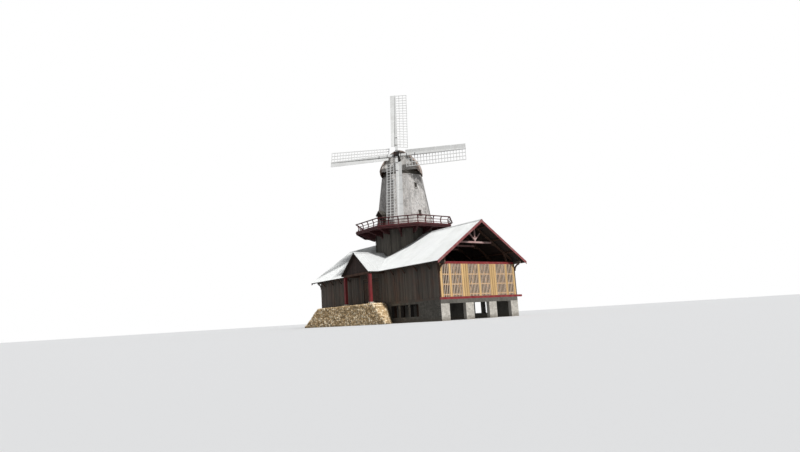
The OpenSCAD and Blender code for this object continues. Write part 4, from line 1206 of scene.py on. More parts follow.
@dataclass
class BarnWalls(Assembly):
    """Boards, posts, doors and floor planks of the barn and its porch."""

    roof: BarnRoof
    half_w: float = 6.0
    half_l: float = 13.5
    wall: float = 0.16
    sill_top: float = 2.55
    plate_low: float = 6.19
    plate_top: float = 6.45
    door_w: float = 3.6
    door_top: float = 5.75
    casing: float = 0.14
    board: float = 0.2
    thick: float = 0.026
    porch_face: float = -8.081
    post_x: float = 2.9
    post_y: float = -8.05

    def build(self) -> None:
        """Makes the boards of both long walls, the door dressing, the porch gable and the posts' foot stones."""
        self._long_walls()
        self._bay_posts()
        self._doors()
        self._porch_gable()
        self._foot_stones()
        self._planks()

    def _long_walls(self) -> None:
        """Lays the upright boards of both long walls, with the doorway on the porch side."""
        marks: list[Mark] = []
        top = self.roof.roof_at(self.half_w + self.thick) - 0.15
        reach, door = self.half_l - self.wall, self.door_w / 2 + 0.1

        def spans(lo: float, hi: float) -> list[Span]:
            """Leaves the doorway open."""
            low = self.door_top + self.casing if side < 0 and abs(lo + hi) / 2 < door else self.sill_top + 0.01
            return [(low, self.plate_low - 0.004), (self.plate_top + 0.004, top)]

        for side, seed, stops in ((-1, 51, (-reach, -door, door, reach)), (1, 52, (-reach, reach))):
            face, rng = Face(Y * side * self.half_w, X * -side, Z), random.Random(seed)
            for a, b in pairwise(stops):
                marks += face.boards(a, b, self.board, self.thick, spans, rng)
        self.yard.clad("wall_boards", marks, "dark_boards", 53)

    def _bay_posts(self) -> None:
        """Makes the flat posts that divide the long walls into bays."""
        bench, half = Bench("bay_posts"), 0.11
        for side, x in product(BOTH, (-9.75, -5.1, 5.1, 9.75)):
            bench.block((x - half, side * (self.half_w + 0.01), self.sill_top + 0.005),
                        (x + half, side * (self.half_w + 0.07), self.plate_low - 0.004))
        self.yard.fit(bench, "dark_boards", 6)

    def _doors(self) -> None:
        """Makes the barn door's boards, frame, ledges, strap hinges and bolts."""
        half, low, top, rng = self.door_w / 2, self.sill_top, self.door_top, random.Random(61)
        leaf_y = -(self.half_w - self.wall / 2 + 0.03)
        face = Face(Y * leaf_y, X, Z)
        marks = [mark for a, b in ((0.01 - half, -0.01), (0.01, half - 0.01))
                 for mark in face.boards(a, b, 0.2, 0.022, lambda lo, hi: [(low + 0.01, top - 0.01)], rng)]
        self.yard.clad("barn_door_boards", marks, "door_boards", 62)
        casing = Bench("barn_door_frame")
        for x0, x1, z in ((-half - self.casing, 0.01 - half, low + 0.005),
                          (half - 0.01, half + self.casing, low + 0.005), (0.012 - half, half - 0.012, top - 0.01)):
            casing.block((x0, -self.half_w - 0.045, z), (x1, -self.half_w, top + self.casing))
        ledges = Bench("barn_door_ledges")
        y0, y1, middle = leaf_y - 0.052, leaf_y - 0.02, (low + top) / 2
        for side in BOTH:
            near, far = side * 0.06, side * (half - 0.06)
            for z in (low + 0.3, middle, top - 0.45):
                ledges.block((near, y0, z), (far, y1, z + 0.16))
            for z in (low + 0.46, middle + 0.16):
                p, q = (Vector((x, (y0 + y1) / 2, z + rise)) for x, rise in ((far, 0.05), (near, 1.02)))
                ledges.bar(p.lerp(q, 0.05), p.lerp(q, 0.95), 0.13, 0.028, -Y)
        straps, bolts = Bench("barn_door_straps", 0.003), []
        for side, z in product(BOTH, (low + 0.38, top - 0.37)):
            straps.block((side * (half - 0.02), y0 - 0.01, z - 0.035), (side * (half - 1.25), y0 + 0.002, z + 0.035))
            bolts += [Mark(Vector((side * (half - 0.12 - k * 0.26), y0 - 0.014, z)), X, Z, (0.036, 0.036, 0.014))
                      for k in range(5)]
        self.yard.fit(casing, "dark_boards", 7)
        self.yard.fit(ledges, "door_boards", 8)
        self.yard.fit(straps, "black_iron", 9)
        self.yard.clad("barn_door_bolts", bolts, "black_iron", 63, tilt=0.3, profile=Profile.STUD)

    def _porch_gable(self) -> None:
        """Lays the upright boards of the porch's gable."""
        half, drop, roof = 2.85, 0.16, self.roof

        def spans(lo: float, hi: float) -> list[Span]:
            """Reaches up to the underside of the porch roof."""
            far = max(abs(lo), abs(hi))
            return [(self.plate_top - 0.02, roof.porch_ridge - roof.porch_slope * far - drop)]

        marks = Face(Y * self.porch_face, X, Z).boards(-half, half, 0.17, 0.024, spans, random.Random(71))
        # The gable boards take the dark finish painted as shade under the porch roof.
        self.yard.clad("porch_gable_boards", marks, "gable_shade", 72, "door_boards")

    def _foot_stones(self) -> None:
        """Makes the white foot stones of the two porch posts as collars round the posts."""
        bench = Bench("post_stones", 0.02)
        o, i, j = 0.27, 0.172, 0.17
        sides = ((-o, -o, o, -i), (-o, i, o, o), (-o, -j, -i, j), (i, -j, o, j))
        for side, (x0, y0, x1, y1) in product(BOTH, sides):
            x, y = side * self.post_x, self.post_y
            bench.block((x + x0, y + y0, 2.452), (x + x1, y + y1, 2.72))
        self.yard.fit(bench, "concrete", 10)

    def _planks(self) -> None:
        """Lays the floor planks that show between the slats."""
        rng, marks, top, step, width = random.Random(81), [], self.sill_top - 0.088, 0.225, 0.218
        for side, k in product(BOTH, range(50)):
            cut = rng.uniform(7.0, 10.5)
            for a, b in ((4.6, cut), (cut, 13.25)):
                place = Vector((side * (a + b) / 2, k * step - 5.6, top))
                marks.append(Mark(place, Y, -X, (width, b - a - 0.006, 0.024)))
        self.yard.clad("floor_planks", marks, "grey_boards", 82, tilt=0.001)


@dataclass
class GableSlats(Assembly):
    """Faces of the wide boards and the thin slats on both gables, each with its own grain and nails."""

    x: float = 13.5
    bay: float = 2.2
    board: float = 0.3
    gap: float = 0.05
    slat: float = 0.09
    slats: int = 7
    inner: float = 5.84
    low: float = 2.55
    high: float = 6.19
    inset: float = 0.012
    thick: float = 0.014

    def _places(self) -> tuple[list[float], list[float]]:
        """Gives the middles on one half of a gable.

        Returns:
            The middles of the wide boards and those of the thin slats.
        """
        pair, half = self.board + self.gap, self.board / 2
        wide = [0.0, self.bay - pair, self.bay, self.bay + pair, 2 * self.bay, self.inner - half]
        stretches = ((half, self.bay - pair - half, self.slats),
                     (self.bay + pair + half, 2 * self.bay - half, self.slats),
                     (2 * self.bay + half, self.inner - self.board, (self.slats + 1) // 2))
        return wide, [a + (b - a) * (i + 0.5) / count for a, b, count in stretches for i in range(count)]

    def build(self) -> None:
        """Makes the faces of the boards, of the slats and their nail heads."""
        rng = random.Random(151)
        sets: tuple[list[Mark], list[Mark]] = ([], [])
        nails: list[Mark] = []
        low, high = self.low + self.inset, self.high - self.inset
        for end in BOTH:
            for marks, places, width in zip(sets, self._places(), (self.board, self.slat)):
                for y in sorted({s * y for s in BOTH for y in places}):
                    z = (low + high) / 2 + rng.uniform(-0.004, 0.004)
                    marks.append(Mark(Vector((end * (self.x + self.thick / 2), y, z)), Y * end, Z,
                                      (width - 0.008, high - low, self.thick)))
                    for share, t in product((0.05, 0.36, 0.66), (-0.3, 0.3) if width > 0.2 else (0.0,)):
                        z = self.low + share * (self.high - self.low) + 0.07
                        nails.append(Mark(Vector((end * (self.x + 0.016), y + t * width, z)), Y * end, Z,
                                          (0.014, 0.014, 0.006)))
        self.yard.clad("gable_wide_boards", sets[0], "pale_slats", 152, tilt=0.001)
        self.yard.clad("gable_thin_slats", sets[1], "thin_slats", 152, "pale_slats", tilt=0.001)
        self.yard.clad("gable_nails", nails, "black_iron", 153, tilt=0.1, profile=Profile.STUD)


@dataclass
class BlockWork(Assembly):
    """Courses of blocks on the piers and on the long plinths."""

    half_l: float = 13.5
    half_w: float = 6.0
    height: float = 2.3
    opening: float = 1.85
    course: float = 0.2
    block: float = 0.4
    proud: float = 0.012
    joint: float = 0.01
    vent_first: float = 4.12
    vent_step: float = 1.93
    vent_w: float = 1.55
    vent_low: float = 0.55
    vent_high: float = 2.05

    @property
    def vents(self) -> list[Span]:
        """The stretches of x that the three vents take."""
        starts = [self.vent_first + k * self.vent_step for k in range(3)]
        return [(a, a + self.vent_w) for a in starts]

    def build(self) -> None:
        """Makes the blocks of the pale piers, the plinth blocks in a grey darkened as painted shade, and the vents'
        linings.
        """
        rng = random.Random(161)
        pale: list[Mark] = []
        for end in BOTH:
            face = Face(X * end * self.half_l, Y * end, Z)
            for a, b in ((-6.0, -4.8), (-2.4, -1.2), (1.2, 2.4), (4.8, 6.0)):
                pale += self._wall(face, a, b, self.opening, [], rng)
        self.yard.clad("pier_blocks", pale, "concrete", 162)
        grey: list[Mark] = []
        for side, start in ((-1, 4.06), (1, -self.half_l)):
            holes = [tuple(sorted((-side * a, -side * b))) for a, b in self.vents]
            a, b = sorted((-side * start, -side * self.half_l))
            grey += self._wall(Face(Y * side * self.half_w, X * -side, Z), a, b, self.height, holes, rng)
        # The plinth blocks take a darker grey than the piers: painted shade on the long sides.
        self.yard.clad("plinth_blocks", grey, "grey_masonry", 163)
        self._linings()

    def _linings(self) -> None:
        """Makes the thin dark boards that line the vents' cheeks and heads: painted shade that darkens the vents'
        reveals.
        """
        bench = Bench("vent_shade_linings", 0.003)
        thick, gap = 0.02, 0.002
        low, high = self.vent_low + gap, self.vent_high - gap
        for side, (a, b) in product(BOTH, self.vents):
            y0, y1 = side * (self.half_w - 0.44), side * (self.half_w - 0.004)
            for x0, x1, z in ((a + gap, a + thick, low), (b - thick, b - gap, low),
                              (a + thick + gap, b - thick - gap, self.vent_high - thick)):
                bench.block((x0, y0, z), (x1, y1, high))
        self.yard.fit(bench, "shaded_interior_boards", 164, "drum_boards")

    def _wall(self, face: Face, a: float, b: float, top: float, holes: list[Span], rng: random.Random) -> list[Mark]:
        """Lays staggered courses of blocks.

        Args:
            face: The face that they stand on.
            a: Where the courses start along u.
            b: Where they end.
            top: Height of the uppermost joint.
            holes: The stretches of u that the vents take.
            rng: Random numbers with a fixed seed.

        Returns:
            The marks of the blocks.
        """
        marks = []
        rows = round(top / self.course)
        step, edge = top / rows, 0.02
        for row in range(rows):
            z = (row + 0.5) * step
            open_here = holes if self.vent_low - edge < z < self.vent_high + edge else []
            u = a - (self.block / 2 if row % 2 else 0.0)
            while u < b:
                pieces = [(max(u, a), min(u + self.block, b))]
                for h0, h1 in open_here:
                    pieces = [(lo, hi) for p, q in pieces for lo, hi in ((p, min(q, h0)), (max(p, h1), q)) if hi > lo]
                for lo, hi in pieces:
                    if hi - lo > 0.05:
                        proud = self.proud * rng.uniform(0.8, 1.2)
                        marks.append(Mark(face.at((lo + hi) / 2, z, proud / 2), face.u, face.v,
                                          (hi - lo - self.joint, step - self.joint, proud)))
                u += self.block
        return marks


@dataclass
class StoneBank(Assembly):
    """The rubble facing of the bank in front of the porch."""

    height: float = 2.45
    wall_y: float = -6.0
    top_y: float = -8.85
    foot_y: float = -9.3
    left: float = -9.2
    right: float = 4.5
    run: float = 3.3
    inner: float = 2.9
    inner_foot: float = 4.05

    def build(self) -> None:
        """Makes the stones of the slopes and of the top."""
        rim_left, rim_right, back_right, back_left = (Vector((x, y, self.height)) for x, y in (
            (self.left, self.top_y), (self.right, self.top_y), (self.inner, self.wall_y), (self.left, self.wall_y)))
        foot_left, foot_right, end_right, end_left = (Vector((x, y, 0)) for x, y in (
            (self.left - self.run, self.foot_y), (self.right + self.run, self.foot_y),
            (self.inner_foot, self.wall_y), (self.left - self.run, self.wall_y)))
        marks: list[Mark] = []
        for seed, corners in enumerate(((rim_left, rim_right, foot_right, foot_left),
                                        (rim_right, back_right, foot_right, foot_right),
                                        (back_right, back_right, end_right, foot_right),
                                        (back_left, rim_left, foot_left, end_left)), 91):
            marks += self._face(corners, 0.4, 0.2, random.Random(seed))
        marks += self._face((back_left, back_right, rim_right, rim_left), 0.5, 0.05, random.Random(97))
        self.yard.clad("bank_stones", marks, "rubble", 98, tilt=0.3, profile=Profile.ROCK, play=0.12)

    def _face(self, corners: Sequence[Vector], size: float, thick: float, rng: random.Random) -> list[Mark]:
        """Sets stones in rough courses on a four-cornered face.

        Args:
            corners: Upper left, upper right, lower right and lower left corner.
            size: Usual width of a stone.
            thick: How far the stones are thick.
            rng: Random numbers with a fixed seed.

        Returns:
            The marks of the stones.
        """
        tl, tr, br, bl = corners
        out = (bl - tr).cross(br - tl).normalized()
        down = (bl.lerp(br, 0.5) - tl.lerp(tr, 0.5)).normalized()
        depth = ((bl - tl).length + (br - tr).length) / 2
        rows = max(2, round(depth / (size * 0.72)))
        marks = []
        for row in range(rows):
            t = (row + 0.5) / rows
            p = tl.lerp(bl, t)
            length = (tr.lerp(br, t) - p).length
            along = (tr.lerp(br, t) - p).normalized()
            u = rng.random() * size * 0.4
            while u < length - size * 0.25:
                w = size * rng.uniform(0.7, 1.45)
                middle = p + along * min(u + w / 2, length - w * 0.3)
                middle += down * rng.uniform(-0.03, 0.03) + out * (thick * 0.2 + rng.uniform(-0.015, 0.02))
                marks.append(Mark(middle, along * rng.choice(BOTH), down * rng.choice(BOTH),
                                  (w * 1.08, depth / rows * rng.uniform(1.02, 1.2), thick * rng.uniform(1.0, 1.5))))
                u += w
        return marks


@dataclass
class DrumAndGallery(Assembly):
    """Boards of the drum, planks of the gallery deck, and the capping and cheeks of its rail."""

    roof: BarnRoof
    flat: float = 3.788
    top: float = 11.99
    deck: float = 12.1
    deck_flat: float = 6.329
    tower_flat: float = 3.686
    rail_back: float = 0.16
    rail_top: float = 1.08
    rail_post: float = 0.095
    rail_sag: float = 0.27
    posts: int = 5
    plank: float = 0.152

    def build(self) -> None:
        """Makes the drum's boards, the deck's planks and the rail's capping."""
        rng = random.Random(101)
        marks: list[Mark] = []
        half = (self.flat + 0.02) * HALF_SIDE
        for k in range(8):
            out, side = ways(45 * k)
            face = Face(out * self.flat, side, Z)

            def spans(lo: float, hi: float, face: Face = face) -> list[Span]:
                """Runs from the roof up to the deck."""
                low = min(self.roof.top_at(spot.x, spot.y) for spot in (face.at(lo, 0), face.at(hi, 0)))
                return [(low - 0.05, self.top - 0.003)]

            marks += face.boards(-half, half, 0.19, 0.024, spans, rng)
        self.yard.clad("drum_cover_boards", marks, "drum_boards", 102)
        self._deck()
        self._corner_boards()
        self._rail()

    def _strip(self, bench: Bench, k: int, near: float, far: float, z: float, thick: float, trim: float) -> None:
        """Adds one flat board along a side of the octagon, mitred at both ends.

        Args:
            bench: Takes the board.
            k: Number of the side.
            near: Distance of its inner edge from the middle.
            far: Distance of its outer edge.
            z: Height of its underside.
            thick: Thickness.
            trim: Shortens the ends for an open mitre.
        """
        out, side = ways(45 * k)
        corners = ((near, -1), (far, -1), (far, 1), (near, 1))
        bench.plate([out * r + side * s * (r - trim) * HALF_SIDE + Z * z for r, s in corners], Z * thick)

    def _rail(self) -> None:
        """Makes the capping of the top rail and the cheeks that widen the curved posts."""
        bench = Bench("rail_capping", 0.006)
        line, half, sag = self.deck_flat - 0.06, self.rail_top / 2, self.rail_sag
        radius = (half * half + sag ** 2) / (2 * sag)
        reach = line * HALF_SIDE - self.rail_post
        curve = [(line + radius - sag - math.sqrt(radius * radius - (z - half) ** 2) - 0.033, self.deck + z)
                 for z in np.linspace(0.151, 1.02, 7).tolist()]
        for k in range(8):
            out, side = ways(45 * k)
            self._strip(bench, k, line - 0.125, line + 0.05, self.deck + self.rail_top + 0.001, 0.05, 0.002)
            for i, s in product(range(self.posts), BOTH):
                if (i, s) in ((0, -1), (self.posts - 1, 1)):
                    continue
                across = side * ((i / (self.posts - 1) - 0.5) * 2 * reach + s * (self.rail_post / 2 + 0.015))
                for p, q in pairwise([out * r + across + Z * z for r, z in curve]):
                    bench.bar(p, q, 0.028, 0.064, out)
        self.yard.fit(bench, "gallery_timber", 11)

    def _deck(self) -> None:
        """Lays planks along each side of the deck, mitred at the corners."""
        bench = Bench("deck_planks", 0.004)
        near, joint = self.tower_flat + 0.03, 0.003
        rows = int((self.deck_flat - self.rail_back - 0.01 - near) / self.plank)
        for k, row in product(range(8), range(rows)):
            a = near + row * self.plank
            self._strip(bench, k, a + joint, a + self.plank - joint, self.deck + 0.001, 0.022, 2 * joint)
        self.yard.fit(bench, "gallery_timber", 12)

    def _corner_boards(self) -> None:
        """Makes the boards that cover the drum's eight corners."""
        bench = Bench("drum_corner_boards", 0.006)
        half = 0.07
        for k, turn in product(range(8), BOTH):
            corner = 22.5 + 45 * k
            spot = ways(corner)[0] * (self.flat + 0.03) / math.cos(OCTAGON)
            low = self.roof.top_at(spot.x, spot.y) - 0.05
            out, side = ways(corner + turn * 22.5)
            middle = spot - side * turn * half + out * 0.008
            middle.z = (low + self.top) / 2
            bench.beam(middle, side * half, Z * ((self.top - 0.004 - low) / 2), out * 0.011)
        self.yard.fit(bench, "drum_boards", 13)


@dataclass
class Tower(Assembly):
    """Shingles, corner boards, windows, doors and hoods of the tower."""

    foot: float = 12.1
    top: float = 19.55
    flat: float = 3.686
    lean: float = 0.1451
    window_w: float = 0.3
    window_h: float = 0.7
    window_z: Span = (14.05, 17.9)
    door_w: float = 0.9
    door_h: float = 1.9
    step: float = 0.2
    width: float = 0.15
    hood_rise: float = 0.56
    hood_out: float = 0.9

    def face(self, k: int) -> Face:
        """Gives one leaning side, with v measured along the slope from the deck."""
        out, side = ways(45 * k)
        return Face(out * self.flat + Z * self.foot, side, (Z - out * self.lean).normalized())

    @property
    def stretch(self) -> float:
        """Length along the slope for each metre of height."""
        return math.sqrt(1 + self.lean * self.lean)

    def half_at(self, v: float) -> float:
        """Half the width of a side at v along the slope."""
        return (self.flat - self.lean * v / self.stretch) * HALF_SIDE

    def build(self) -> None:
        """Makes every piece of the tower."""
        rng = random.Random(111)
        rows = int((self.top - self.foot) * self.stretch / self.step) - 1
        marks = [mark for k in range(8) for mark in self.face(k).shingles(
            rows, self.step, self.width, 0.016, lambda v, k=k: self._spans(k, v), rng, 0.06)]
        self.yard.clad("tower_shingles_cover", marks, "tower_shingles", 112, tilt=0.006, taper=0.5, play=0.06)
        self._edges()
        self._windows()
        self._doors()

    def _spans(self, k: int, v: float) -> list[Span]:
        """Keeps the shingles clear of the corners, the windows and the doors.

        Args:
            k: Number of the side.
            v: Place along the slope.

        Returns:
            The stretches of u to be covered.
        """
        z = self.foot + v / self.stretch
        half = self.half_at(v) + 0.012
        if k in (0, 4) and any(abs(z - mid) < self.window_h / 2 + 0.14 for mid in self.window_z):
            gap = self.window_w / 2 + 0.06
        elif k in (2, 6) and z < self.foot + self.door_h + 0.2:
            gap = self.door_w / 2 + 0.1
        else:
            return [(-half, half)]
        return [(-half, -gap), (gap, half)]

    def _edges(self) -> None:
        """Makes the corner boards and the boards under the curb."""
        bench = Bench("tower_edges", 0.005)
        length, inset, foot = (self.top - self.foot) * self.stretch, 0.045, 0.03
        head = length - 0.1
        half = self.half_at(head) - 0.11
        for k in range(8):
            face = self.face(k)
            for turn in BOTH:
                bench.on(face, (turn * (self.half_at(foot) - inset), foot),
                         (turn * (self.half_at(length) - inset), length - 0.05), 0.044, 0.11, 0.02)
            bench.on(face, (-half, head), (half, head), 0.04, 0.16, 0.022)
        self.yard.fit(bench, "tower_shingles", 14)

    def _windows(self) -> None:
        """Makes casings, sashes and glazing bars of the four small windows."""
        bench = Bench("tower_window_frames", 0.004)
        w, h, sash = self.window_w / 2, self.window_h / 2 * self.stretch, 0.036
        for k, z in product((0, 4), self.window_z):
            face = self.face(k)
            v = (z - self.foot) * self.stretch
            for s in BOTH:
                casing, head, stile, rail = s * (w + 0.03), v + s * (h + 0.035), s * (w - sash / 2), v + s * (h - 0.02)
                bench.on(face, (casing, v - h - 0.06), (casing, v + h + 0.06), 0.03, 0.07, 0.05)
                bench.on(face, (-w - 0.1, head), (w + 0.1, head), 0.034, 0.08, 0.06)
                bench.on(face, (stile, v - h), (stile, v + h), -0.085, sash, 0.03)
                bench.on(face, (sash - w, rail), (w - sash, rail), -0.085, 0.04, 0.03)
            for bar in (v - h * 0.33, v + h * 0.33):
                bench.on(face, (sash - w, bar), (w - sash, bar), -0.083, 0.022, 0.024)
            bench.on(face, (0, v - h + 0.04), (0, v + h - 0.04), -0.08, 0.022, 0.022)
        self.yard.fit(bench, "dark_boards", 15)

    def _doors(self) -> None:
        """Makes the gallery doors' boards, frames, straps and the boards on their hoods."""
        boards: list[Mark] = []
        hoods: list[Mark] = []
        frames, straps = Bench("gallery_door_frames", 0.006), Bench("gallery_door_straps", 0.002)
        rng = random.Random(121)
        half, top = self.door_w / 2, (self.door_h + 0.06) * self.stretch
        leaf_y = self.flat - self.lean * self.door_h - 0.14
        for s, k in ((-1, 6), (1, 2)):
            face = Face(Y * s * leaf_y + Z * self.foot, X * -s, Z)
            boards += face.boards(0.01 - half, half - 0.01, 0.145, 0.02, lambda lo, hi: [(0.03, self.door_h - 0.01)],
                                  rng, 0.004, 0.002)
            outer = self.face(k)
            for jamb in (-half - 0.045, half + 0.045):
                frames.on(outer, (jamb, 0.03), (jamb, top), 0.03, 0.1, 0.06)
            frames.on(outer, (-half - 0.1, top + 0.05), (half + 0.1, top + 0.05), 0.032, 0.1, 0.07)
            for z in (0.3, 1.55):
                straps.on(face, (0.02 - half, z), (half - 0.18, z), 0.028, 0.05, 0.01)
            hoods += self._hood(s)
        self.yard.clad("gallery_door_boards", boards, "door_boards", 122)
        self.yard.fit(frames, "dark_boards", 16)
        self.yard.fit(straps, "black_iron", 17)
        self.yard.clad("door_hood_boards", hoods, "drum_boards", 123, tilt=0.003)

    def _hood(self, s: int) -> list[Mark]:
        """Lays boards down both slopes of a door hood.

        Args:
            s: -1 for the hood on the porch side, 1 for the other one.

        Returns:
            The marks of the boards.
        """
        half, board, pitch = self.door_w / 2 + 0.16, 0.16, 0.165
        z = self.foot + self.door_h + 0.15
        tip = self.flat - self.lean * self.door_h + self.hood_out + 0.01
        inner = self.flat - self.lean * (z - self.foot) - 0.05
        length = math.hypot(half, self.hood_rise)
        marks = []
        for side in BOTH:
            face = Face(Vector((side * half, 0, z)), Y * side, Vector((-side * half, 0, self.hood_rise)).normalized())
            for a in (tip - k * pitch for k in range(8)):
                if a - board >= inner:
                    marks.append(Mark(face.at(side * s * (a - board / 2), length / 2 - 0.01, 0.012), face.u, face.v,
                                      (board, length + 0.03, 0.02)))
        return marks


@dataclass
class Cap(Assembly):
    """Shingles, ridge boards and front boards of the boat-shaped cap."""

    bearing: float = -45.6
    tilt: float = 11.2
    low: float = 19.93
    waist: float = 0.1
    half: float = 2.81
    rise: float = 2.97
    flare: float = 0.2
    front: float = 2.7
    back: float = 3.45
    recess: float = 0.33
    hub_out: float = 3.58
    hub_z: float = 21.9
    shaft: float = 0.25
    front_low: float = 20.0905
    front_half: float = 2.8
    board: float = 0.17

    def turned(self, spot: Sequence[float]) -> Vector:
        """Turns a point from the cap's own frame, front towards +X, to its bearing."""
        return Matrix.Rotation(math.radians(self.bearing), 3, "Z") @ Vector(spot)

    def section(self, x: float) -> tuple[float, float]:
        """Gives the width factor and the height factor of the section at x.

        Args:
            x: Station along the cap.

        Returns:
            The two factors.
        """
        if x > 0:
            return 1 - 0.08 * (x / self.front) ** 2, 1 - 0.03 * (x / self.front) ** 2
        return 1 - 0.62 * (-x / self.back) ** 2.3, 1 - 0.5 * (-x / self.back) ** 1.9

    def point(self, x: float, angle: float, depth: float = 0.0) -> Vector:
        """Gives a point of the cap's skin in its own frame.

        Args:
            x: Station along the cap.
            angle: Angle round the section, 0 at the right-hand widest line and 180 at the left-hand one.
            depth: Depth below the outer face.

        Returns:
            The point.
        """
        w, h = self.section(x)
        a = math.radians(angle)
        z = (self.rise - depth) * h * math.sin(a)
        y = (self.half - depth) * w * math.cos(a) * (1 - 0.12 * math.sin(a) ** 2)
        lean = 0.0
        if x > 0:
            lean = math.tan(math.radians(self.tilt)) * z * x / self.front
            y *= 1 - self.flare * max(0.0, math.sin(a)) * (x / self.front) ** 2
        return Vector((x - lean, y, self.low + self.waist + z))

    def build(self) -> None:
        """Makes the cap's shingles, front boards, rim, ridge strip and tail boards."""
        self._skin()
        self._front()
        self._rims()

    def _skin(self) -> None:
        """Lays courses of shingles from the rim up to the ridge on both flanks."""
        step, width, thick, rng = 0.2, 0.16, 0.016, random.Random(131)
        lean = math.atan(thick / step) * 0.9
        angles = np.linspace(0, 90, 91)
        arc = [self.point(0.0, a) for a in angles]
        lengths = np.cumsum([0.0] + [(q - p).length for p, q in pairwise(arc)])
        marks = []
        for row, flank in product(range(-1, int(lengths[-1] / step)), (1, -1)):
            angle = float(np.interp((row + 0.9) * step, lengths, angles)) if row >= 0 else -2.0
            a = angle if flank > 0 else 180 - angle
            x = self.front - 0.02 - rng.random() * 0.05
            while x > 0.05 - self.back:
                w = width * rng.uniform(0.75, 1.15)
                run = self.point(x - w, a) - self.point(x, a)
                middle = self.point(x - w / 2, a)
                up = (self.point(x - w / 2, a + flank * 3.0) - middle).normalized()
                if row < 0:
                    middle.z -= 0.06
                    up = Z
                side = run.normalized() * -flank
                out = side.cross(up).normalized()
                place = middle + out * (0.006 + thick / 2) + up * step * 0.3
                rise = (up * math.cos(lean) - out * math.sin(lean)).normalized()
                marks.append(Mark(self.turned(place), self.turned(side), self.turned(rise),
                                  (run.length - 0.004, step * 1.7, thick)))
                x -= w
        self.yard.clad("cap_shingles_cover", marks, "cap_shingles", 132, body=Body.CAP, tilt=0.006, taper=0.5,
                       play=0.06)

    def _front(self) -> None:
        """Lays upright boards on the front wall, clear of the windshaft."""
        marks, rng = [], random.Random(133)
        tilt = math.radians(self.tilt)
        lean = math.tan(tilt)
        climb = self.turned((-math.sin(tilt), 0, math.cos(tilt)))
        x0, base = self.front - self.recess, self.front_low
        shaft_z = self.hub_z - (self.hub_out - x0 + (self.hub_z - base) * lean) * lean
        y = -self.front_half
        while y < self.front_half:
            w = self.board * rng.uniform(0.9, 1.1)
            near, far = sorted((abs(y), abs(y + w)))
            low, high = base + 0.02, self._under_skin(far)
            stretches = [(low, high)]
            if abs(y + w / 2) < self.shaft + 0.13:
                bore = math.sqrt(max(0.0, (self.shaft + 0.08) ** 2 - near ** 2)) + 0.02
                stretches = [(low, shaft_z - bore), (shaft_z + bore, high)]
            for a, b in stretches:
                if b - a > 0.06:
                    z = (a + b) / 2
                    place = Vector((x0 - (z - base) * lean + 0.016, y + w / 2, z))
                    marks.append(Mark(self.turned(place), self.turned(Y), climb,
                                      (w - 0.005, (b - a) / math.cos(tilt), 0.024)))
            y += w
        self.yard.clad("cap_front_cover", marks, "cap_boards", 134, "cap_shingles", Body.CAP, tilt=0.003)

    def _under_skin(self, y: float) -> float:
        """Gives the height of the cap's inner face above the front wall.

        Args:
            y: Distance from the middle.

        Returns:
            The height.
        """
        for angle in np.linspace(90, 3, 175):
            spot = self.point(self.front - self.recess, float(angle), 0.13)
            if spot.y >= y:
                return spot.z
        return self.low

    def _rims(self) -> None:
        """Makes the curved edge boards at both ends, the ridge strip and the tail's boards."""
        bench = Bench("cap_edge_boards", 0.005)
        width, thick, steps = 0.15, 0.03, 30
        for x, out, proud in ((self.front, X, 0.012), (-self.back, -X, 0.036)):
            for p, q in pairwise([self.point(x, 180 * k / steps, thick) for k in range(steps + 1)]):
                lap = (q - p).normalized() * 0.002
                bench.bar(self.turned(p + out * proud - lap), self.turned(q + out * proud + lap), width, thick,
                          self.turned(out))
        ridge = [self.point(x, 90) for x in np.linspace(self.front - 0.05, 0.06 - self.back, 14).tolist()]
        for (p, q), s in product(pairwise(ridge), BOTH):
            shift = Vector((0, s * 0.09, 0.022))
            bench.bar(self.turned(p + shift), self.turned(q + shift), 0.2, 0.024, self.turned((0, s * 0.25, 1)))
        w, h = self.section(-self.back)
        half = self.half * w
        y = 0.02 - half
        while y < half - 0.03:
            far = max(abs(y), abs(y + self.board))
            if far < half:
                high = self.low + self.waist + self.rise * h * math.sqrt(1 - (far / half) ** 2) * 0.97
                a, b = (self.turned((-self.back - 0.014, y + self.board / 2, z)) for z in (self.low + 0.01, high))
                bench.bar(a, b, self.board - 0.005, 0.024, self.turned(-X))
            y += self.board
        self.yard.fit(bench, "cap_shingles", 18, body=Body.CAP)


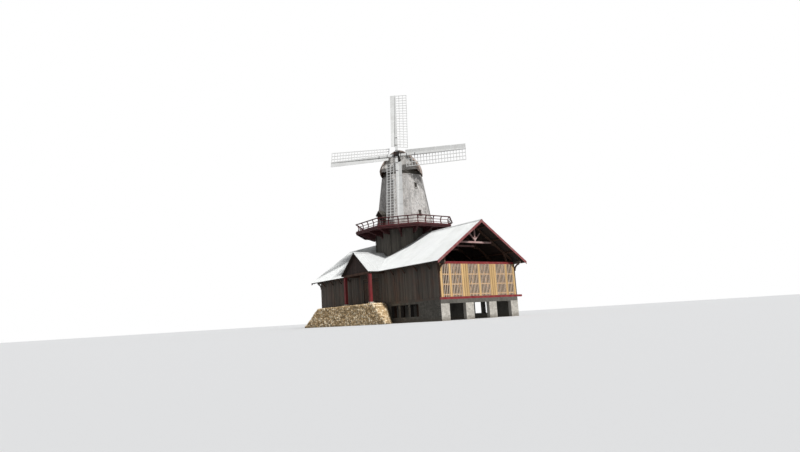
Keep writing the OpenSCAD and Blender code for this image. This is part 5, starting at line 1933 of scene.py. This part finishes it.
@dataclass
class SailCross(Assembly):
    """Iron straps, bands and bolts on the poll end and the stocks."""

    cap: Cap
    poll: float = 0.64
    length: float = 0.82
    stock: float = 0.3
    stock_end: float = 0.13
    taper: float = 8.4
    arm_out: float = 0.17

    def placed(self, spot: Sequence[float]) -> Vector:
        """Turns a point from the hub's frame, +X forward, +Y right and +Z up, to its place."""
        tilt = Matrix.Rotation(-math.radians(self.cap.tilt), 3, "Y")
        return self.cap.turned(tilt @ Vector(spot) + Vector((self.cap.hub_out, 0, self.cap.hub_z)))

    def aimed(self, way: Sequence[float]) -> Vector:
        """Turns a direction from the hub's frame."""
        return (self.placed(way) - self.placed((0, 0, 0))).normalized()

    def build(self) -> None:
        """Makes the bands, the end plate and the bolts."""
        bench = Bench("poll_bands", 0.006)
        ahead, right, up = self.aimed(X), self.aimed(Y), self.aimed(Z)
        half, end, arm_x = self.poll / 2, self.length / 2, self.arm_out
        for x, (way, cross), s in product((0.035 - end, end - 0.035), ((right, up), (up, right)), BOTH):
            middle = self.placed((x, 0, 0)) + way * s * (half + 0.012)
            bench.bar(middle - cross * (half + 0.024), middle + cross * (half + 0.024), 0.06, 0.024, way * s)
        bench.beam(self.placed((end + 0.015, 0, 0)), right * 0.2, up * 0.2, ahead * 0.015)
        studs = [Mark(self.placed((end + lift, sy * d, sz * d)), right, up, (0.05, 0.05, 0.03))
                 for sy, sz, (d, lift) in product(BOTH, BOTH, ((0.13, 0.04), (0.25, 0.014)))]
        arms = ((up, arm_x), (-up, arm_x), (right, -arm_x), (-right, -arm_x))
        for (arm, x), d in product(arms, (0.52, 1.3, 2.4)):
            across = arm.cross(ahead)
            width = self.stock - (self.stock - self.stock_end) * max(0.0, d - self.poll) / self.taper + 0.012
            middle = self.placed((x, 0, 0)) + arm * d
            for s in BOTH:
                edge = middle + across * s * width / 2
                bench.bar(edge - ahead * width / 2, edge + ahead * width / 2, 0.07, 0.014, across * s)
            front = middle + ahead * (width / 2 - (0.0 if d < self.poll else (self.stock - width) * 0.5))
            bench.bar(front - across * width / 2, front + across * width / 2, 0.07, 0.014, ahead)
            studs.append(Mark(front + ahead * 0.014, across, arm, (0.045, 0.045, 0.022)))
        self.yard.fit(bench, "black_iron", 19, body=Body.SAILS)
        self.yard.clad("poll_bolts", studs, "black_iron", 141, body=Body.SAILS, tilt=0.2, profile=Profile.STUD)


@dataclass
class Studio:
    """The floor, the light and the camera at the photograph's viewing angle."""

    place: Rgb = (60.41, -45.38, 0.584)
    yaw: float = 0.936
    pitch: float = 0.162
    roll: float = 0.061
    focal: float = 562.6
    wide: int = 800
    sensor: float = 36.0
    floor: float = 900.0
    floor_z: float = -0.002
    sun: Rgb = (0.7, 0.0, 0.71)
    sun_energy: float = 2.8
    sun_angle: float = 5.0
    soft: float = 0.24

    def build(self) -> None:
        """Sets up the whole studio."""
        bpy.context.scene.view_settings.view_transform = "Standard"
        self._camera()
        self._floor()
        self._lamp()
        self._world()

    def _camera(self) -> None:
        """Places the camera."""
        data = bpy.data.cameras.new("camera")
        data.sensor_width = self.sensor
        data.lens = self.focal / self.wide * self.sensor
        data.clip_end = 2000.0
        right = Vector((math.cos(self.yaw), math.sin(self.yaw), 0))
        ahead = Z.cross(right) * math.cos(self.pitch) + Z * math.sin(self.pitch)
        up = right.cross(ahead)
        x = right * math.cos(self.roll) - up * math.sin(self.roll)
        y = right * math.sin(self.roll) + up * math.cos(self.roll)
        camera = in_scene("camera", data)
        camera.matrix_world = Matrix.Translation(self.place) @ Matrix((x, y, -ahead)).transposed().to_4x4()
        bpy.context.scene.camera = camera

    def _floor(self) -> None:
        """Lays the pale floor, which keeps the object's shadow but sends no light back up."""
        mesh = bpy.data.meshes.new("floor")
        corners = ((-1, -1), (1, -1), (1, 1), (-1, 1))
        mesh.from_pydata([(x * self.floor, y * self.floor, self.floor_z) for x, y in corners], [], [(0, 1, 2, 3)])
        material = bpy.data.materials.new("floor_paint")
        material.use_nodes = True
        Graph(material.node_tree).fill(material.node_tree.nodes["Principled BSDF"], {
            "Base Color": (0.86, 0.86, 0.86, 1), "Roughness": 0.9, "Specular IOR Level": 0.1})
        mesh.materials.append(material)
        floor = in_scene("floor", mesh)
        floor.visible_diffuse = False

    def _lamp(self) -> None:
        """Hangs a soft key lamp high on the right."""
        data = bpy.data.lights.new("key", "SUN")
        data.energy = self.sun_energy
        data.angle = math.radians(self.sun_angle)
        in_scene("key", data).matrix_world = Vector(self.sun).to_track_quat("Z", "Y").to_matrix().to_4x4()

    def _world(self) -> None:
        """Gives soft light all round and a white backdrop to the eye, to gloss and to glass."""
        world = bpy.data.worlds.new("studio")
        world.use_nodes = True
        bpy.context.scene.world = world
        world.node_tree.nodes.clear()
        g = Graph(world.node_tree)
        ray = g.add("ShaderNodeLightPath").outputs
        through = g.maths("MAXIMUM", ray["Is Glossy Ray"], ray["Is Transmission Ray"])
        soft = g.add("ShaderNodeBackground", {"Color": (0.93, 0.96, 1.0, 1), "Strength": self.soft})
        white = g.add("ShaderNodeBackground", {"Color": (1, 1, 1, 1), "Strength": 1.0})
        seen = g.maths("MAXIMUM", ray["Is Camera Ray"], through)
        mix = g.add("ShaderNodeMixShader", {0: seen, 1: soft.outputs[0], 2: white.outputs[0]})
        g.add("ShaderNodeOutputWorld", {"Surface": mix.outputs[0]})


def main() -> None:
    """Builds every sub-assembly in order and reports it."""
    logging.basicConfig(level=logging.INFO, format="%(message)s", force=True)
    Studio().build()
    yard = Yard()
    yard.dress_frame()
    roof, cap = BarnRoof(yard), Cap(yard)
    for part in (roof, BarnWalls(yard, roof), GableSlats(yard), BlockWork(yard), StoneBank(yard),
                 DrumAndGallery(yard, roof), Tower(yard), cap, SailCross(yard, cap)):
        part.build()
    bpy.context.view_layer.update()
    log.info("%d pieces made", yard.made)


if __name__ == "__main__":
    main()
